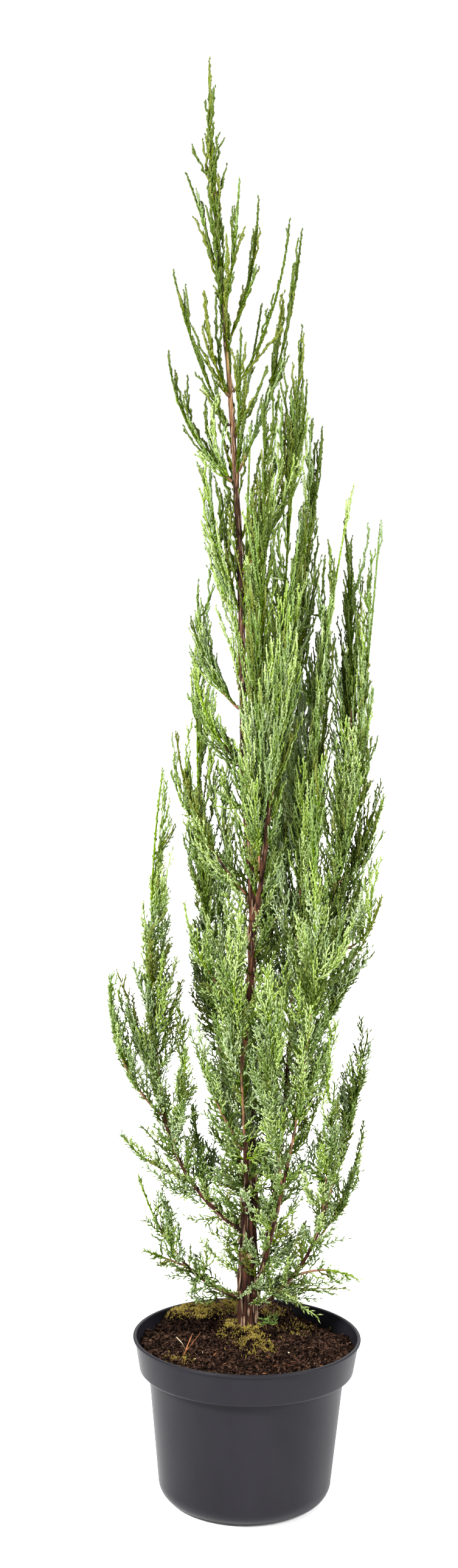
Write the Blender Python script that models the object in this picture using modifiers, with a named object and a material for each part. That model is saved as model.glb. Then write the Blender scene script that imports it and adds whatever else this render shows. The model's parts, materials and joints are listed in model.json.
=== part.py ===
"""Potted rocky mountain juniper.

A young upright juniper in a round nursery pot: a trunk, the boughs that leave it, and masses of scale-leaved
shoots round them.  Metres, +Z up.  The origin is the centre of the pot's flat underside, and the front faces -Y.
"""

import math
import random
from typing import NamedTuple, Optional

import bmesh
import bpy
import numpy as np

OBJECT_NAME = "potted_juniper"

# Clearance between pieces that touch
GAP = 0.0003

# Pot, a moulded nursery pot 230 mm across its lip
POT_HEIGHT = 0.173
LIP_RADIUS = 0.115
LIP_DEPTH = 0.003
COLLAR_TOP_RADIUS = 0.1130
COLLAR_FOOT_RADIUS = 0.1085
COLLAR_HEIGHT = 0.0357
COLLAR_ROUNDING = 0.004
BODY_TOP_RADIUS = 0.0988
BODY_FOOT_RADIUS = 0.0878
FOOT_ROUNDING = 0.0233
POT_WALL = 0.0018
POT_STEPS = 32
ROUNDING_POINTS = 3

# Soil, level in the pot, with a mound that the trunk stands on
SOIL_LEVEL = 0.159
MOUND_FOOT_RADIUS = 0.060
MOUND_TOP_RADIUS = 0.018
MOUND_SIDES = 20
MOUND_SUNK = 0.010

# Trunk, as height, place to the right, place to the back, and radius
TRUNK_STATIONS = (
    (0.1762, 0.0010, 0.031, 0.0104),
    (0.1860, 0.0005, 0.031, 0.0098),
    (0.2160, -0.0003, 0.031, 0.0094),
    (0.2640, -0.0004, 0.031, 0.0084),
    (0.3250, 0.0010, 0.030, 0.0068),
    (0.3830, -0.0024, 0.028, 0.0056),
    (0.4530, -0.0080, 0.025, 0.0047),
    (0.5070, -0.0034, 0.022, 0.0042),
    (0.6050, -0.0014, 0.016, 0.0038),
    (0.7280, -0.0110, 0.010, 0.0035),
    (0.9080, -0.0178, 0.007, 0.0031),
    (1.0320, -0.0249, 0.005, 0.0027),
    (1.1660, -0.0363, 0.003, 0.0020),
    (1.3020, -0.0499, 0.001, 0.0012),
)
TRUNK_POINTS = 18
TRUNK_SIDES = 10
BOUGH_POINTS = 8
BOUGH_SIDES = 6

# Stems of the masses, three-sided
STEM_POINTS = 6
STEM_SIDES = 3
STEM_RADII = (0.0013, 0.0009)

# How far a mass reaches from its stem, as a share of its reach, at shares of the stem
FLAME_SHARES = (0.0, 0.35, 0.80, 1.0)
FLAME_REACHES = (0.75, 1.0, 0.62, 0.30)

# The rule by which plumes leave a stem
PLUME_SPACING = 0.0168
SOLID_PLUME_EVERY = 3
GOLDEN_ANGLE = math.radians(137.5)
TURN_SPREAD = 0.35
START_LEAN = math.radians(38.0)
END_LEAN = math.radians(10.0)
PLUME_LENGTH = 2.6
FIRST_PLUME = 0.07
LAST_PLUME = 0.91
SHORTER = 0.82
LENGTH_TRIES = 6
TURN_TRIES = 4
SHORTEST_PLUME = 0.016

# A plume's solid: a toothed blade whose root is sunk in the stem.  A tooth is its side, the share of the
# plume's length at its tip, and how far it reaches as a share of that length; a notch follows each tooth.
SPRAY_THICKNESS = 0.0013
SPRAY_ROOT = 0.0009
TEETH = ((1, 0.44, 0.215), (-1, 0.60, 0.205), (1, 0.78, 0.150))
NOTCH_BELOW = 0.06
TESTED_SHARES = (0.2, 0.3, 0.4, 0.5, 0.6, 0.7, 0.8, 0.9)
NOTCH_SHARE = 0.42
TIP_SPRAY_LENGTH = 0.052
TIP_SPRAY_SUNK = 0.40

# Room that each mass keeps
OUTERMOST = 1.55
NEARER_BY = 0.93
LIMB_CLEARANCE = 0.0016

UP = np.array((0.0, 0.0, 1.0))
LEVEL = np.array((1.0, 1.0, 0.0))


class Bough(NamedTuple):
    """A limb of bare wood, whose foot lies on its parent's bark at a height.  The lean is degrees off upright
    where it starts, and the swing is the share of its sideways reach that this first course would make."""

    name: str
    parent: str
    foot_height: float
    tip: tuple
    lean: float
    swing: float
    foot_radius: float
    tip_radius: float


class Mass(NamedTuple):
    """A mass of shoots round one stem.  One with no foot height grows on from its limb's tip, with no lean,
    and its swing is the share of its way that it first keeps to that limb's heading."""

    name: str
    parent: str
    foot_height: Optional[float]
    tip: tuple
    lean: float
    swing: float
    reach: float


BOUGHS = (
    Bough("bough_left_low", "trunk", 0.202, (-0.072, 0.052, 0.238), 80, 0.60, 0.0019, 0.0012),
    Bough("bough_left", "trunk", 0.274, (-0.090, 0.022, 0.412), 53, 0.87, 0.0023, 0.0014),
    Bough("bough_inner_left", "trunk", 0.300, (-0.006, -0.010, 0.384), 24, 0.56, 0.0022, 0.0015),
    Bough("bough_right_back", "trunk", 0.212, (0.039, 0.025, 0.500), 9, 0.74, 0.0027, 0.0018),
    Bough("bough_right_slim", "trunk", 0.207, (0.037, -0.023, 0.356), 23, 0.58, 0.0022, 0.0015),
    Bough("bough_right_low", "trunk", 0.191, (0.076, 0.006, 0.302), 50, 0.77, 0.0020, 0.0014),
    Bough("bough_second_leader", "trunk", 0.600, (0.014, -0.018, 0.742), 19, 0.65, 0.0026, 0.0018),
    Bough("bough_right_far", "bough_right_back", 0.485, (0.090, 0.018, 0.742), 19, 0.88, 0.0019, 0.0013),
    Bough("bough_back_left", "trunk", 0.319, (-0.029, 0.069, 0.425), 27, 0.63, 0.0023, 0.0017),
    Bough("bough_back_right", "trunk", 0.389, (0.012, 0.064, 0.498), 20, 0.60, 0.0022, 0.0016),
)

MASSES = (
    Mass("leader", "trunk", None, (-0.056, -0.002, 1.428), 0, 0.45, 0.020),
    Mass("top_left", "trunk", 1.220, (-0.077, 0.014, 1.322), 14, 0.40, 0.011),
    Mass("top_front", "trunk", 1.197, (-0.026, -0.016, 1.318), 17, 0.80, 0.011),
    Mass("top_right", "trunk", 1.166, (-0.008, 0.016, 1.301), 29, 1.00, 0.012),
    Mass("upper_right", "trunk", 1.117, (0.022, -0.014, 1.281), 34, 0.88, 0.014),
    Mass("upper_right_back", "trunk", 1.041, (0.034, 0.014, 1.273), 25, 0.86, 0.018),
    Mass("upper_left_front", "trunk", 1.114, (-0.057, -0.028, 1.212), 40, 0.90, 0.012),
    Mass("upper_left", "trunk", 1.085, (-0.088, 0.000, 1.232), 30, 0.66, 0.013),
    Mass("mid_left_outer", "trunk", 1.032, (-0.092, 0.012, 1.154), 50, 0.87, 0.018),
    Mass("upper_front", "trunk", 1.027, (-0.022, -0.036, 1.179), 19, 0.63, 0.013),
    Mass("mid_back_right", "trunk", 1.073, (-0.003, 0.048, 1.200), 26, 0.64, 0.017),
    Mass("mid_right_front", "trunk", 0.944, (0.041, -0.036, 1.132), 42, 0.98, 0.024),
    Mass("second_leader_top", "bough_second_leader", None, (0.036, 0.000, 1.184), 0, 0.50, 0.026),
    Mass("second_leader_right", "bough_second_leader", 0.721, (0.058, 0.034, 1.080), 14, 0.50, 0.025),
    Mass("front_centre", "bough_second_leader", 0.651, (0.002, -0.062, 1.112), 12, 0.60, 0.029),
    Mass("mid_left", "trunk", 0.914, (-0.050, -0.012, 1.051), 31, 0.95, 0.022),
    Mass("left_slim", "trunk", 0.810, (-0.060, 0.016, 0.934), 51, 1.10, 0.017),
    Mass("left_front", "trunk", 0.753, (-0.062, -0.046, 0.855), 52, 0.75, 0.022),
    Mass("left_outer", "trunk", 0.624, (-0.079, 0.006, 0.785), 43, 0.88, 0.024),
    Mass("left_lower", "trunk", 0.506, (-0.069, -0.018, 0.623), 54, 0.84, 0.025),
    Mass("right_crest", "bough_right_back", None, (0.088, -0.018, 1.032), 0, 0.66, 0.024),
    Mass("right_far_top", "bough_right_far", None, (0.081, 0.034, 0.996), 0, 0.50, 0.018),
    Mass("right_far_outer", "bough_right_far", 0.730, (0.115, 0.004, 0.996), 16, 0.50, 0.015),
    Mass("right_far_front", "bough_right_far", 0.667, (0.111, -0.024, 0.838), 24, 0.60, 0.020),
    Mass("right_far_back", "bough_right_far", 0.635, (0.126, 0.036, 0.720), 50, 0.79, 0.019),
    Mass("right_far_low", "bough_right_far", 0.564, (0.123, -0.024, 0.631), 80, 0.87, 0.019),
    Mass("inner_left_low", "bough_inner_left", 0.368, (-0.055, -0.034, 0.483), 33, 0.73, 0.022),
    Mass("inner_left_top", "bough_inner_left", None, (-0.025, -0.062, 0.603), 0, 0.50, 0.025),
    Mass("right_middle", "bough_right_back", 0.420, (0.082, -0.008, 0.526), 29, 0.60, 0.021),
    Mass("right_slim_top", "bough_right_slim", None, (0.056, -0.056, 0.677), 0, 0.60, 0.024),
    Mass("front_right", "bough_right_slim", 0.338, (0.014, -0.082, 0.573), 22, 0.60, 0.026),
    Mass("right_low_top", "bough_right_low", None, (0.116, 0.012, 0.487), 0, 0.50, 0.020),
    Mass("right_low_inner", "bough_right_low", 0.289, (0.082, -0.040, 0.451), 25, 0.60, 0.020),
    Mass("right_low_outer", "bough_right_low", 0.263, (0.115, 0.044, 0.378), 46, 0.79, 0.019),
    Mass("right_low_hanging", "bough_right_low", 0.233, (0.112, 0.010, 0.230), 66, 0.52, 0.017),
    Mass("left_top", "bough_left", None, (-0.092, 0.020, 0.749), 0, 0.55, 0.021),
    Mass("left_far", "bough_left", 0.395, (-0.141, 0.010, 0.542), 47, 1.10, 0.022),
    Mass("left_inner", "bough_left", 0.363, (-0.064, -0.026, 0.478), 30, 0.60, 0.020),
    Mass("left_far_low", "bough_left", 0.331, (-0.131, 0.036, 0.371), 80, 0.67, 0.016),
    Mass("left_back_low", "bough_left", 0.304, (-0.059, 0.064, 0.396), 35, 0.60, 0.020),
    Mass("left_low_top", "bough_left_low", None, (-0.113, 0.058, 0.320), 0, 0.45, 0.018),
    Mass("left_low_hanging", "bough_left_low", 0.229, (-0.106, 0.030, 0.250), 65, 0.60, 0.015),
    Mass("back_left_top", "bough_back_left", None, (-0.058, 0.060, 0.890), 0, 0.55, 0.028),
    Mass("back_left_low", "bough_back_left", 0.405, (-0.036, 0.100, 0.599), 24, 0.60, 0.025),
    Mass("back_right_top", "bough_back_right", None, (0.042, 0.060, 0.994), 0, 0.55, 0.029),
    Mass("back_right_low", "bough_back_right", 0.479, (0.061, 0.096, 0.695), 26, 0.84, 0.026),
    Mass("back_centre", "trunk", 0.884, (-0.012, 0.060, 1.082), 18, 0.60, 0.025),
)


class Line:
    """The centre line of a limb or a stem, with the heading and the radius at each of its points.  The outward
    direction is the one in which it leaves its parent."""

    def __init__(self, points, headings, radii, outward):
        self.points = np.asarray(points, float)
        self.headings = np.asarray(headings, float)
        self.radii = np.asarray(radii, float)
        self.outward = outward
        steps = np.linalg.norm(np.diff(self.points, axis=0), axis=1)
        self.length = float(steps.sum())
        self.shares = np.concatenate(([0.0], np.cumsum(steps))) / self.length

    def at(self, share):
        """The place at this share of the length."""
        return np.array([np.interp(share, self.shares, self.points[:, axis]) for axis in range(3)])

    def radius(self, share):
        """The radius at this share of the length."""
        return float(np.interp(share, self.shares, self.radii))

    def heading(self, share):
        """The direction in which the line runs at this share of the length."""
        return unit(np.array([np.interp(share, self.shares, self.headings[:, axis]) for axis in range(3)]))

    def cut_at(self, share):
        """The line as far as this share of the length."""
        kept = self.shares < share
        return Line(
            np.vstack((self.points[kept], self.at(share))),
            np.vstack((self.headings[kept], self.heading(share))),
            np.append(self.radii[kept], self.radius(share)),
            self.outward,
        )

    def share_at_height(self, height):
        """The share of the length at which a rising line reaches a height."""
        return float(np.interp(height, self.points[:, 2], self.shares))

    def nearest(self, places):
        """The distance from each place to the line, and the share of the length where it is nearest."""
        start = self.points[:-1]
        step = self.points[1:] - start
        along = np.clip(((places[:, None] - start) * step).sum(2) / (step * step).sum(1), 0.0, 1.0)
        away = np.linalg.norm(places[:, None] - start - step * along[:, :, None], axis=2)
        rows, best = np.arange(len(places)), away.argmin(1)
        shares = self.shares[best] + along[rows, best] * np.diff(self.shares)[best]
        return away[rows, best], shares


def unit(vector):
    """The vector at length one."""
    return vector / np.linalg.norm(vector)


def smooth_through(stations, count):
    """Rows on a smooth curve through the rows of a list, evenly spaced in row number."""
    stations = np.asarray(stations, float)
    padded = np.vstack((2 * stations[0] - stations[1], stations, 2 * stations[-1] - stations[-2]))
    rows = []
    for where in np.linspace(0, len(stations) - 1, count):
        low = min(int(where), len(stations) - 2)
        share = where - low
        before, start, end, after = padded[low:low + 4]
        slope = 0.5 * (end - before)
        next_slope = 0.5 * (after - start)
        cubic = 2 * (start - end) + slope + next_slope
        square = 3 * (end - start) - 2 * slope - next_slope
        rows.append(start + share * (slope + share * (square + share * cubic)))
    return np.array(rows)


def bent(foot, control, tip, share):
    """The place on a curve that leaves the foot towards a control point and arrives at the tip."""
    return (1 - share) ** 2 * foot + 2 * share * (1 - share) * control + share ** 2 * tip


def bent_line(foot, control, tip, radii, outward, points):
    """The line along such a curve, with a radius that runs evenly from its foot to its tip."""
    shares = np.linspace(0.0, 1.0, points)[:, None]
    headings = (1 - shares) * (control - foot) + shares * (tip - control)
    return Line(bent(foot, control, tip, shares), headings, np.linspace(*radii, points), outward)


def trunk_line():
    """The trunk's centre line and radii."""
    rows = smooth_through(TRUNK_STATIONS, TRUNK_POINTS)
    headings = np.gradient(rows[:, [1, 2, 0]], axis=0)
    headings[0] = UP
    return Line(rows[:, [1, 2, 0]], headings, rows[:, 3], LEVEL)


def side_line(parent, limb, radii, inner_radius, points):
    """The line of a limb that leaves its parent's bark at a lean and turns up to its tip."""
    lean = math.radians(limb.lean)
    tip = np.asarray(limb.tip, float)
    share = parent.share_at_height(limb.foot_height)
    axis, along = parent.at(share), parent.heading(share)
    heading = math.sin(lean) * unit((tip - axis) * LEVEL) + math.cos(lean) * UP
    outward = unit(heading - heading @ along * along)
    half_width = inner_radius * math.sqrt(1.0 - (outward @ heading) ** 2)
    foot = axis + outward * (parent.radius(share) + GAP + half_width)
    first_course = (tip - foot) * LEVEL * limb.swing
    control = foot + first_course + UP * np.linalg.norm(first_course) / math.tan(lean)
    return bent_line(foot, control, tip, radii, outward, points)


def onward_line(parent, mass):
    """The line of a stem that grows on from its parent's tip."""
    tip = np.asarray(mass.tip, float)
    heading = parent.heading(1.0)
    foot = parent.at(1.0) + heading * GAP
    control = foot + heading * mass.swing * np.linalg.norm(tip - foot)
    return bent_line(foot, control, tip, STEM_RADII, LEVEL, STEM_POINTS)


def limb_lines():
    """The centre lines of the trunk and the boughs, by name."""
    lines = {"trunk": trunk_line()}
    for bough in BOUGHS:
        radii = (bough.foot_radius, bough.tip_radius)
        lines[bough.name] = side_line(lines[bough.parent], bough, radii, bough.foot_radius, BOUGH_POINTS)
    return lines


def stem_lines(limbs):
    """The centre lines of the masses' stems, by name."""
    lines = {}
    for mass in MASSES:
        parent = limbs[mass.parent]
        if mass.foot_height is None:
            lines[mass.name] = onward_line(parent, mass)
        else:
            lines[mass.name] = side_line(parent, mass, STEM_RADII, STEM_RADII[0] / 2, STEM_POINTS)
    return lines


def reach_at(mass, share):
    """How far a mass reaches from its stem at a share of the stem's length."""
    return mass.reach * np.interp(share, FLAME_SHARES, FLAME_REACHES)


class Room:
    """The space of one mass: what lies within its reach, nearer to its stem than to the others for their
    reach, and clear of the trunk and the boughs."""

    def __init__(self, mass, stems, limbs):
        self.mass = mass
        self.stem = stems[mass.name]
        self.others = [(other, stems[other.name]) for other in MASSES if other is not mass]
        self.limbs = list(limbs.values())

    @staticmethod
    def share_of_reach(mass, stem, places):
        """The places' distances from a stem, as shares of how far the mass reaches there."""
        away, shares = stem.nearest(places)
        return away / reach_at(mass, shares)

    def holds(self, places):
        """Whether all the places are inside the room."""
        own = self.share_of_reach(self.mass, self.stem, places)
        if own.max() > OUTERMOST:
            return False
        for limb in self.limbs:
            away, shares = limb.nearest(places)
            if (away < np.interp(shares, limb.shares, limb.radii) + LIMB_CLEARANCE).any():
                return False
        return all((own < NEARER_BY * self.share_of_reach(*other, places)).all() for other in self.others)


class Plume:
    """One plume of a mass: a curved rib in a plane of its own, which leaves the stem at one lean and ends at
    a smaller one."""

    def __init__(self, mass, number, count, stem):
        draw = random.Random(1000 * MASSES.index(mass) + number)
        share = FIRST_PLUME + (LAST_PLUME - FIRST_PLUME) * (number + 0.5) / count
        self.foot = stem.at(share)
        self.heading = stem.heading(share)
        self.turn = MASSES.index(mass) + number * GOLDEN_ANGLE + draw.uniform(-TURN_SPREAD, TURN_SPREAD)
        self.leans = (START_LEAN * draw.uniform(0.85, 1.15), END_LEAN * draw.uniform(0.5, 1.5))
        self.length = reach_at(mass, share) * PLUME_LENGTH * draw.uniform(0.85, 1.1)
        self.aim(self.turn)

    def aim(self, turn):
        """Turns the plume's plane round the stem."""
        across = unit(np.cross(self.heading, (0.0, 1.0, 0.0)))
        outward = math.cos(turn) * across + math.sin(turn) * np.cross(self.heading, across)
        self.start, self.end = (
            math.cos(lean) * self.heading + math.sin(lean) * outward for lean in self.leans
        )
        self.normal = np.cross(outward, self.heading)

    def tested(self):
        """Places all over the blade outside its root: corners, the middles of its sides, and its rib."""
        corners = self.outline()[1:-1]
        middles = (corners[1:] + corners[:-1]) / 2
        return np.vstack((corners, middles, [self.rib(share) for share in TESTED_SHARES]))

    def rib(self, share):
        """The place at a share of the rib."""
        control = self.foot + self.start * self.length / 2
        return bent(self.foot, control, control + self.end * self.length / 2, share)

    def beside(self, share, offset):
        """The place beside the rib, in the plume's plane."""
        heading = unit((1 - share) * self.start + share * self.end)
        return self.rib(share) + offset * np.cross(self.normal, heading)

    def outline(self):
        """The outline of the toothed blade round the rib, from its root round its tip to its root."""
        sides = []
        for side in (1, -1):
            places = [self.beside(0.0, side * SPRAY_ROOT)]
            for _, tip, reach in (tooth for tooth in TEETH if tooth[0] == side):
                offset = side * reach * self.length
                places.append(self.beside(tip, offset))
                places.append(self.beside(tip - NOTCH_BELOW, offset * NOTCH_SHARE))
            sides.append(places)
        return np.array(sides[0] + [self.rib(1.0)] + sides[1][::-1])


def fitted_plume(room, number, count):
    """The plume, turned on and shortened until it fits the room, or nothing."""
    plume = Plume(room.mass, number, count, room.stem)
    for _ in range(LENGTH_TRIES):
        for turns in range(TURN_TRIES):
            plume.aim(plume.turn + turns * GOLDEN_ANGLE)
            if room.holds(plume.tested()):
                return plume
        plume.length *= SHORTER
        if plume.length < SHORTEST_PLUME:
            return None
    return None


def solid_plumes(room):
    """The plumes of a mass that its solid shows: every third of those that the rule deals out."""
    count = max(int(room.stem.length / PLUME_SPACING), SOLID_PLUME_EVERY)
    found = (fitted_plume(room, number, count) for number in range(1, count, SOLID_PLUME_EVERY))
    return [plume for plume in found if plume]


def ring_places(centre, heading, radius, sides, outward):
    """The corners of a tube's section, the first one on the outward side."""
    across = unit(np.cross(heading, outward))
    outer = np.cross(across, heading)
    turns = [2 * math.pi * side / sides for side in range(sides)]
    return [centre + radius * (math.cos(turn) * outer + math.sin(turn) * across) for turn in turns]


def tube_mesh(name, line, sides):
    """A closed tapering tube along a line: a disc, extruded from point to point."""
    bm = bmesh.new()
    bmesh.ops.create_circle(bm, cap_ends=True, segments=sides, radius=1.0)
    bm.faces.ensure_lookup_table()
    cap = bm.faces[0]
    for number, centre in enumerate(line.points):
        if number:
            raised = bmesh.ops.extrude_face_region(bm, geom=[cap, *cap.edges])["geom"]
            cap = next(item for item in raised if isinstance(item, bmesh.types.BMFace))
        heading = unit(line.headings[number])
        places = ring_places(centre, heading, line.radii[number], sides, line.outward)
        for corner, place in zip(cap.verts, places):
            corner.co = place
    bmesh.ops.recalc_face_normals(bm, faces=bm.faces)
    return mesh_of(name, bm)


def blade_mesh(name, outline, normal):
    """A flat blade of even thickness on both sides of its outline's plane."""
    bm = bmesh.new()
    half = normal * SPRAY_THICKNESS / 2
    face = bm.faces.new([bm.verts.new(place - half) for place in outline])
    raised = bmesh.ops.extrude_face_region(bm, geom=[face])["geom"]
    corners = [item for item in raised if isinstance(item, bmesh.types.BMVert)]
    bmesh.ops.translate(bm, verts=corners, vec=normal * SPRAY_THICKNESS)
    bmesh.ops.recalc_face_normals(bm, faces=bm.faces)
    return mesh_of(name, bm)


def mesh_of(name, bm):
    """The mesh of a finished bmesh, which is freed."""
    mesh = bpy.data.meshes.new(name)
    bm.to_mesh(mesh)
    bm.free()
    return mesh


def placed(mesh, collection, material=None):
    """An object that shows a mesh, in a collection."""
    obj = bpy.data.objects.new(mesh.name, mesh)
    collection.objects.link(obj)
    if material:
        mesh.materials.append(material)
    return obj


def apply_modifiers(obj):
    """The object's mesh as its modifiers leave it, with the modifiers gone."""
    graph = bpy.context.evaluated_depsgraph_get()
    finished = bpy.data.meshes.new_from_object(obj.evaluated_get(graph))
    obj.modifiers.clear()
    obj.data = finished


def keep_largest_shell(mesh):
    """Drops loose scraps and the skins of sealed hollows, so that one closed shell is left."""
    bm = bmesh.new()
    bm.from_mesh(mesh)
    left = set(bm.verts)
    shells = []
    while left:
        shell, edge = set(), {left.pop()}
        while edge:
            shell |= edge
            edge = {link.other_vert(vert) for vert in edge for link in vert.link_edges} - shell
        left -= shell
        shells.append(shell)
    shells.sort(key=len)
    for shell in shells[:-1]:
        bmesh.ops.delete(bm, geom=list(shell), context="VERTS")
    bm.to_mesh(mesh)
    bm.free()


def tip_plume(mass, stem):
    """The plume at the end of a stem, which carries its line on to the tip."""
    plume = Plume(mass, 1, 2, stem)
    plume.length = min(TIP_SPRAY_LENGTH, stem.length / 2)
    plume.foot = stem.at(1.0 - plume.length / stem.length)
    plume.start = plume.end = unit(stem.at(1.0) - plume.foot)
    plume.normal = unit(np.cross(plume.start, np.cross(plume.normal, plume.start)))
    return plume


def spray_pieces(mass, room):
    """The blades that are joined on a mass's stem: its plumes, and the one at its tip."""
    plumes = solid_plumes(room) + [tip_plume(mass, room.stem)]
    return [
        blade_mesh(f"{mass.name}_spray_{number}", plume.outline(), plume.normal)
        for number, plume in enumerate(plumes)
    ]


def bare_share(stem):
    """The share of a stem that is bare wood, up to where it ends inside the blade at its tip."""
    length = min(TIP_SPRAY_LENGTH, stem.length / 2)
    return 1.0 - (1.0 - TIP_SPRAY_SUNK) * length / stem.length


def make_mass(mass, stems, limbs, collection, cutters, material):
    """One mass of shoots: a stem with its blades joined on it."""
    room = Room(mass, stems, limbs)
    stem = tube_mesh(mass.name, room.stem.cut_at(bare_share(room.stem)), STEM_SIDES)
    obj = placed(stem, collection, material)
    joined = [placed(piece, cutters, material) for piece in spray_pieces(mass, room)]
    union = obj.modifiers.new("join_sprays", "BOOLEAN")
    union.operation = "UNION"
    union.operand_type = "COLLECTION"
    union.collection = cutters
    union.solver = "EXACT"
    apply_modifiers(obj)
    for piece in joined:
        bpy.data.objects.remove(piece)
    keep_largest_shell(obj.data)


def make_limb(name, line, sides, collection, material):
    """A limb of bare wood."""
    mesh = tube_mesh(name, line, sides)
    mesh.shade_smooth()
    mesh.set_sharp_from_angle(angle=math.radians(50))
    placed(mesh, collection, material)


def rounding(centre_radius, centre_height, size, start, end):
    """Profile points along an arc, from one angle to another."""
    turns = np.linspace(math.radians(start), math.radians(end), ROUNDING_POINTS)
    return [(centre_radius + size * math.cos(turn), centre_height + size * math.sin(turn)) for turn in turns]


def pot_profile(inset):
    """The pot's outer side from the collar down to the middle of the underside, moved in by a wall."""
    collar_foot = POT_HEIGHT - COLLAR_HEIGHT
    body_foot = BODY_FOOT_RADIUS - inset
    size = FOOT_ROUNDING - inset
    under_collar = rounding(
        COLLAR_FOOT_RADIUS - inset - COLLAR_ROUNDING, collar_foot + COLLAR_ROUNDING + inset, COLLAR_ROUNDING, 0, -90
    )
    foot = rounding(body_foot - size, inset + size, size, 0, -90)
    return under_collar + [(BODY_TOP_RADIUS - inset, collar_foot + inset)] + foot + [(0.0, inset)]


def pot_section():
    """The pot's section: up the inside from the middle of the floor, over the lip and down the outside."""
    inside = pot_profile(POT_WALL)[::-1]
    lip_foot = POT_HEIGHT - LIP_DEPTH
    lip = [
        (COLLAR_TOP_RADIUS - POT_WALL, POT_HEIGHT - POT_WALL),
        (COLLAR_TOP_RADIUS, POT_HEIGHT),
        (LIP_RADIUS - POT_WALL, POT_HEIGHT),
        (LIP_RADIUS, POT_HEIGHT - POT_WALL),
        (LIP_RADIUS, lip_foot),
        (LIP_RADIUS - POT_WALL, lip_foot),
        (COLLAR_TOP_RADIUS, POT_HEIGHT - 2 * POT_WALL),
    ]
    return inside + lip + pot_profile(0.0)


def soil_section():
    """The soil's section: from the middle of its top out to the pot's wall and down to the floor."""
    wall = POT_WALL + GAP
    wall_top = POT_HEIGHT - POT_WALL
    wall_foot = POT_HEIGHT - COLLAR_HEIGHT + COLLAR_ROUNDING + POT_WALL
    edge = float(np.interp(SOIL_LEVEL, (wall_foot, wall_top), (COLLAR_FOOT_RADIUS, COLLAR_TOP_RADIUS))) - wall
    return [(0.0, SOIL_LEVEL), (edge, SOIL_LEVEL)] + pot_profile(wall)


def turned(name, section, collection, material):
    """A turned solid: a section at the right of the axis, screwed round it."""
    mesh = bpy.data.meshes.new(name)
    corners = [(radius, 0.0, height) for radius, height in section]
    mesh.from_pydata(corners, [(number, number + 1) for number in range(len(corners) - 1)], [])
    obj = placed(mesh, collection, material)
    screw = obj.modifiers.new("turn", "SCREW")
    screw.steps = POT_STEPS
    screw.render_steps = POT_STEPS
    screw.use_merge_vertices = True
    screw.merge_threshold = 0.0001
    apply_modifiers(obj)
    obj.data.shade_smooth()
    obj.data.set_sharp_from_angle(angle=math.radians(30))
    return obj


def make_soil(collection, cutters, material):
    """The soil, with the mound that carries the trunk joined on it."""
    obj = turned("soil", soil_section(), collection, material)
    foot_height, foot_x, foot_y, _ = TRUNK_STATIONS[0]
    top = foot_height - GAP
    depth = top - SOIL_LEVEL + MOUND_SUNK
    bm = bmesh.new()
    bmesh.ops.create_cone(
        bm, cap_ends=True, segments=MOUND_SIDES, radius1=MOUND_FOOT_RADIUS, radius2=MOUND_TOP_RADIUS, depth=depth
    )
    bmesh.ops.translate(bm, verts=bm.verts, vec=(foot_x, foot_y, top - depth / 2))
    mound = placed(mesh_of("mound", bm), cutters, material)
    union = obj.modifiers.new("join_mound", "BOOLEAN")
    union.operation = "UNION"
    union.object = mound
    union.solver = "EXACT"
    apply_modifiers(obj)
    bpy.data.objects.remove(mound)


def principled(name, colour, roughness):
    """A plain material."""
    material = bpy.data.materials.new(name)
    material.use_nodes = True
    shader = material.node_tree.nodes["Principled BSDF"]
    shader.inputs["Base Color"].default_value = (*colour, 1.0)
    shader.inputs["Roughness"].default_value = roughness
    shader.inputs["Metallic"].default_value = 0.0
    return material


def new_collection(name):
    """A collection of this name in the scene."""
    collection = bpy.data.collections.new(name)
    bpy.context.scene.collection.children.link(collection)
    return collection


def clear_scene():
    """Removes every object from the scene."""
    for obj in list(bpy.data.objects):
        bpy.data.objects.remove(obj)


def main():
    """Builds the pot, the soil, the trunk, the boughs and the masses."""
    clear_scene()
    collection = new_collection(OBJECT_NAME)
    cutters = new_collection("cutters")
    plastic = principled("pot_plastic", (0.045, 0.045, 0.050), 0.45)
    peat = principled("peat", (0.030, 0.016, 0.010), 0.95)
    bark = principled("bark", (0.110, 0.055, 0.035), 0.90)
    greens = [
        principled("shoots_fresh", (0.140, 0.260, 0.070), 0.60),
        principled("shoots_green", (0.090, 0.190, 0.070), 0.60),
        principled("shoots_blue", (0.080, 0.170, 0.100), 0.60),
    ]
    turned("pot", pot_section(), collection, plastic)
    make_soil(collection, cutters, peat)
    limbs = limb_lines()
    make_limb("trunk", limbs["trunk"], TRUNK_SIDES, collection, bark)
    for bough in BOUGHS:
        make_limb(bough.name, limbs[bough.name], BOUGH_SIDES, collection, bark)
    stems = stem_lines(limbs)
    for number, mass in enumerate(MASSES):
        make_mass(mass, stems, limbs, collection, cutters, greens[number % len(greens)])
    bpy.data.collections.remove(cutters)


if __name__ == "__main__":
    main()
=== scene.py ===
"""Looks of a potted rocky mountain juniper.

The bark, the scale-leaved shoots, the soil with its moss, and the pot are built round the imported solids, which
stay as the frame.  Metres, +Z up.  The origin is the centre of the pot's underside, and the front faces -Y.
"""

import json
import logging
import math
import random
import sys
from dataclasses import dataclass, fields, replace
from enum import Enum
from typing import Dict, Iterator, List, Optional, Sequence, Tuple, Union

import bmesh
import bpy
import numpy as np
from mathutils import Matrix, Vector, noise

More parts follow.
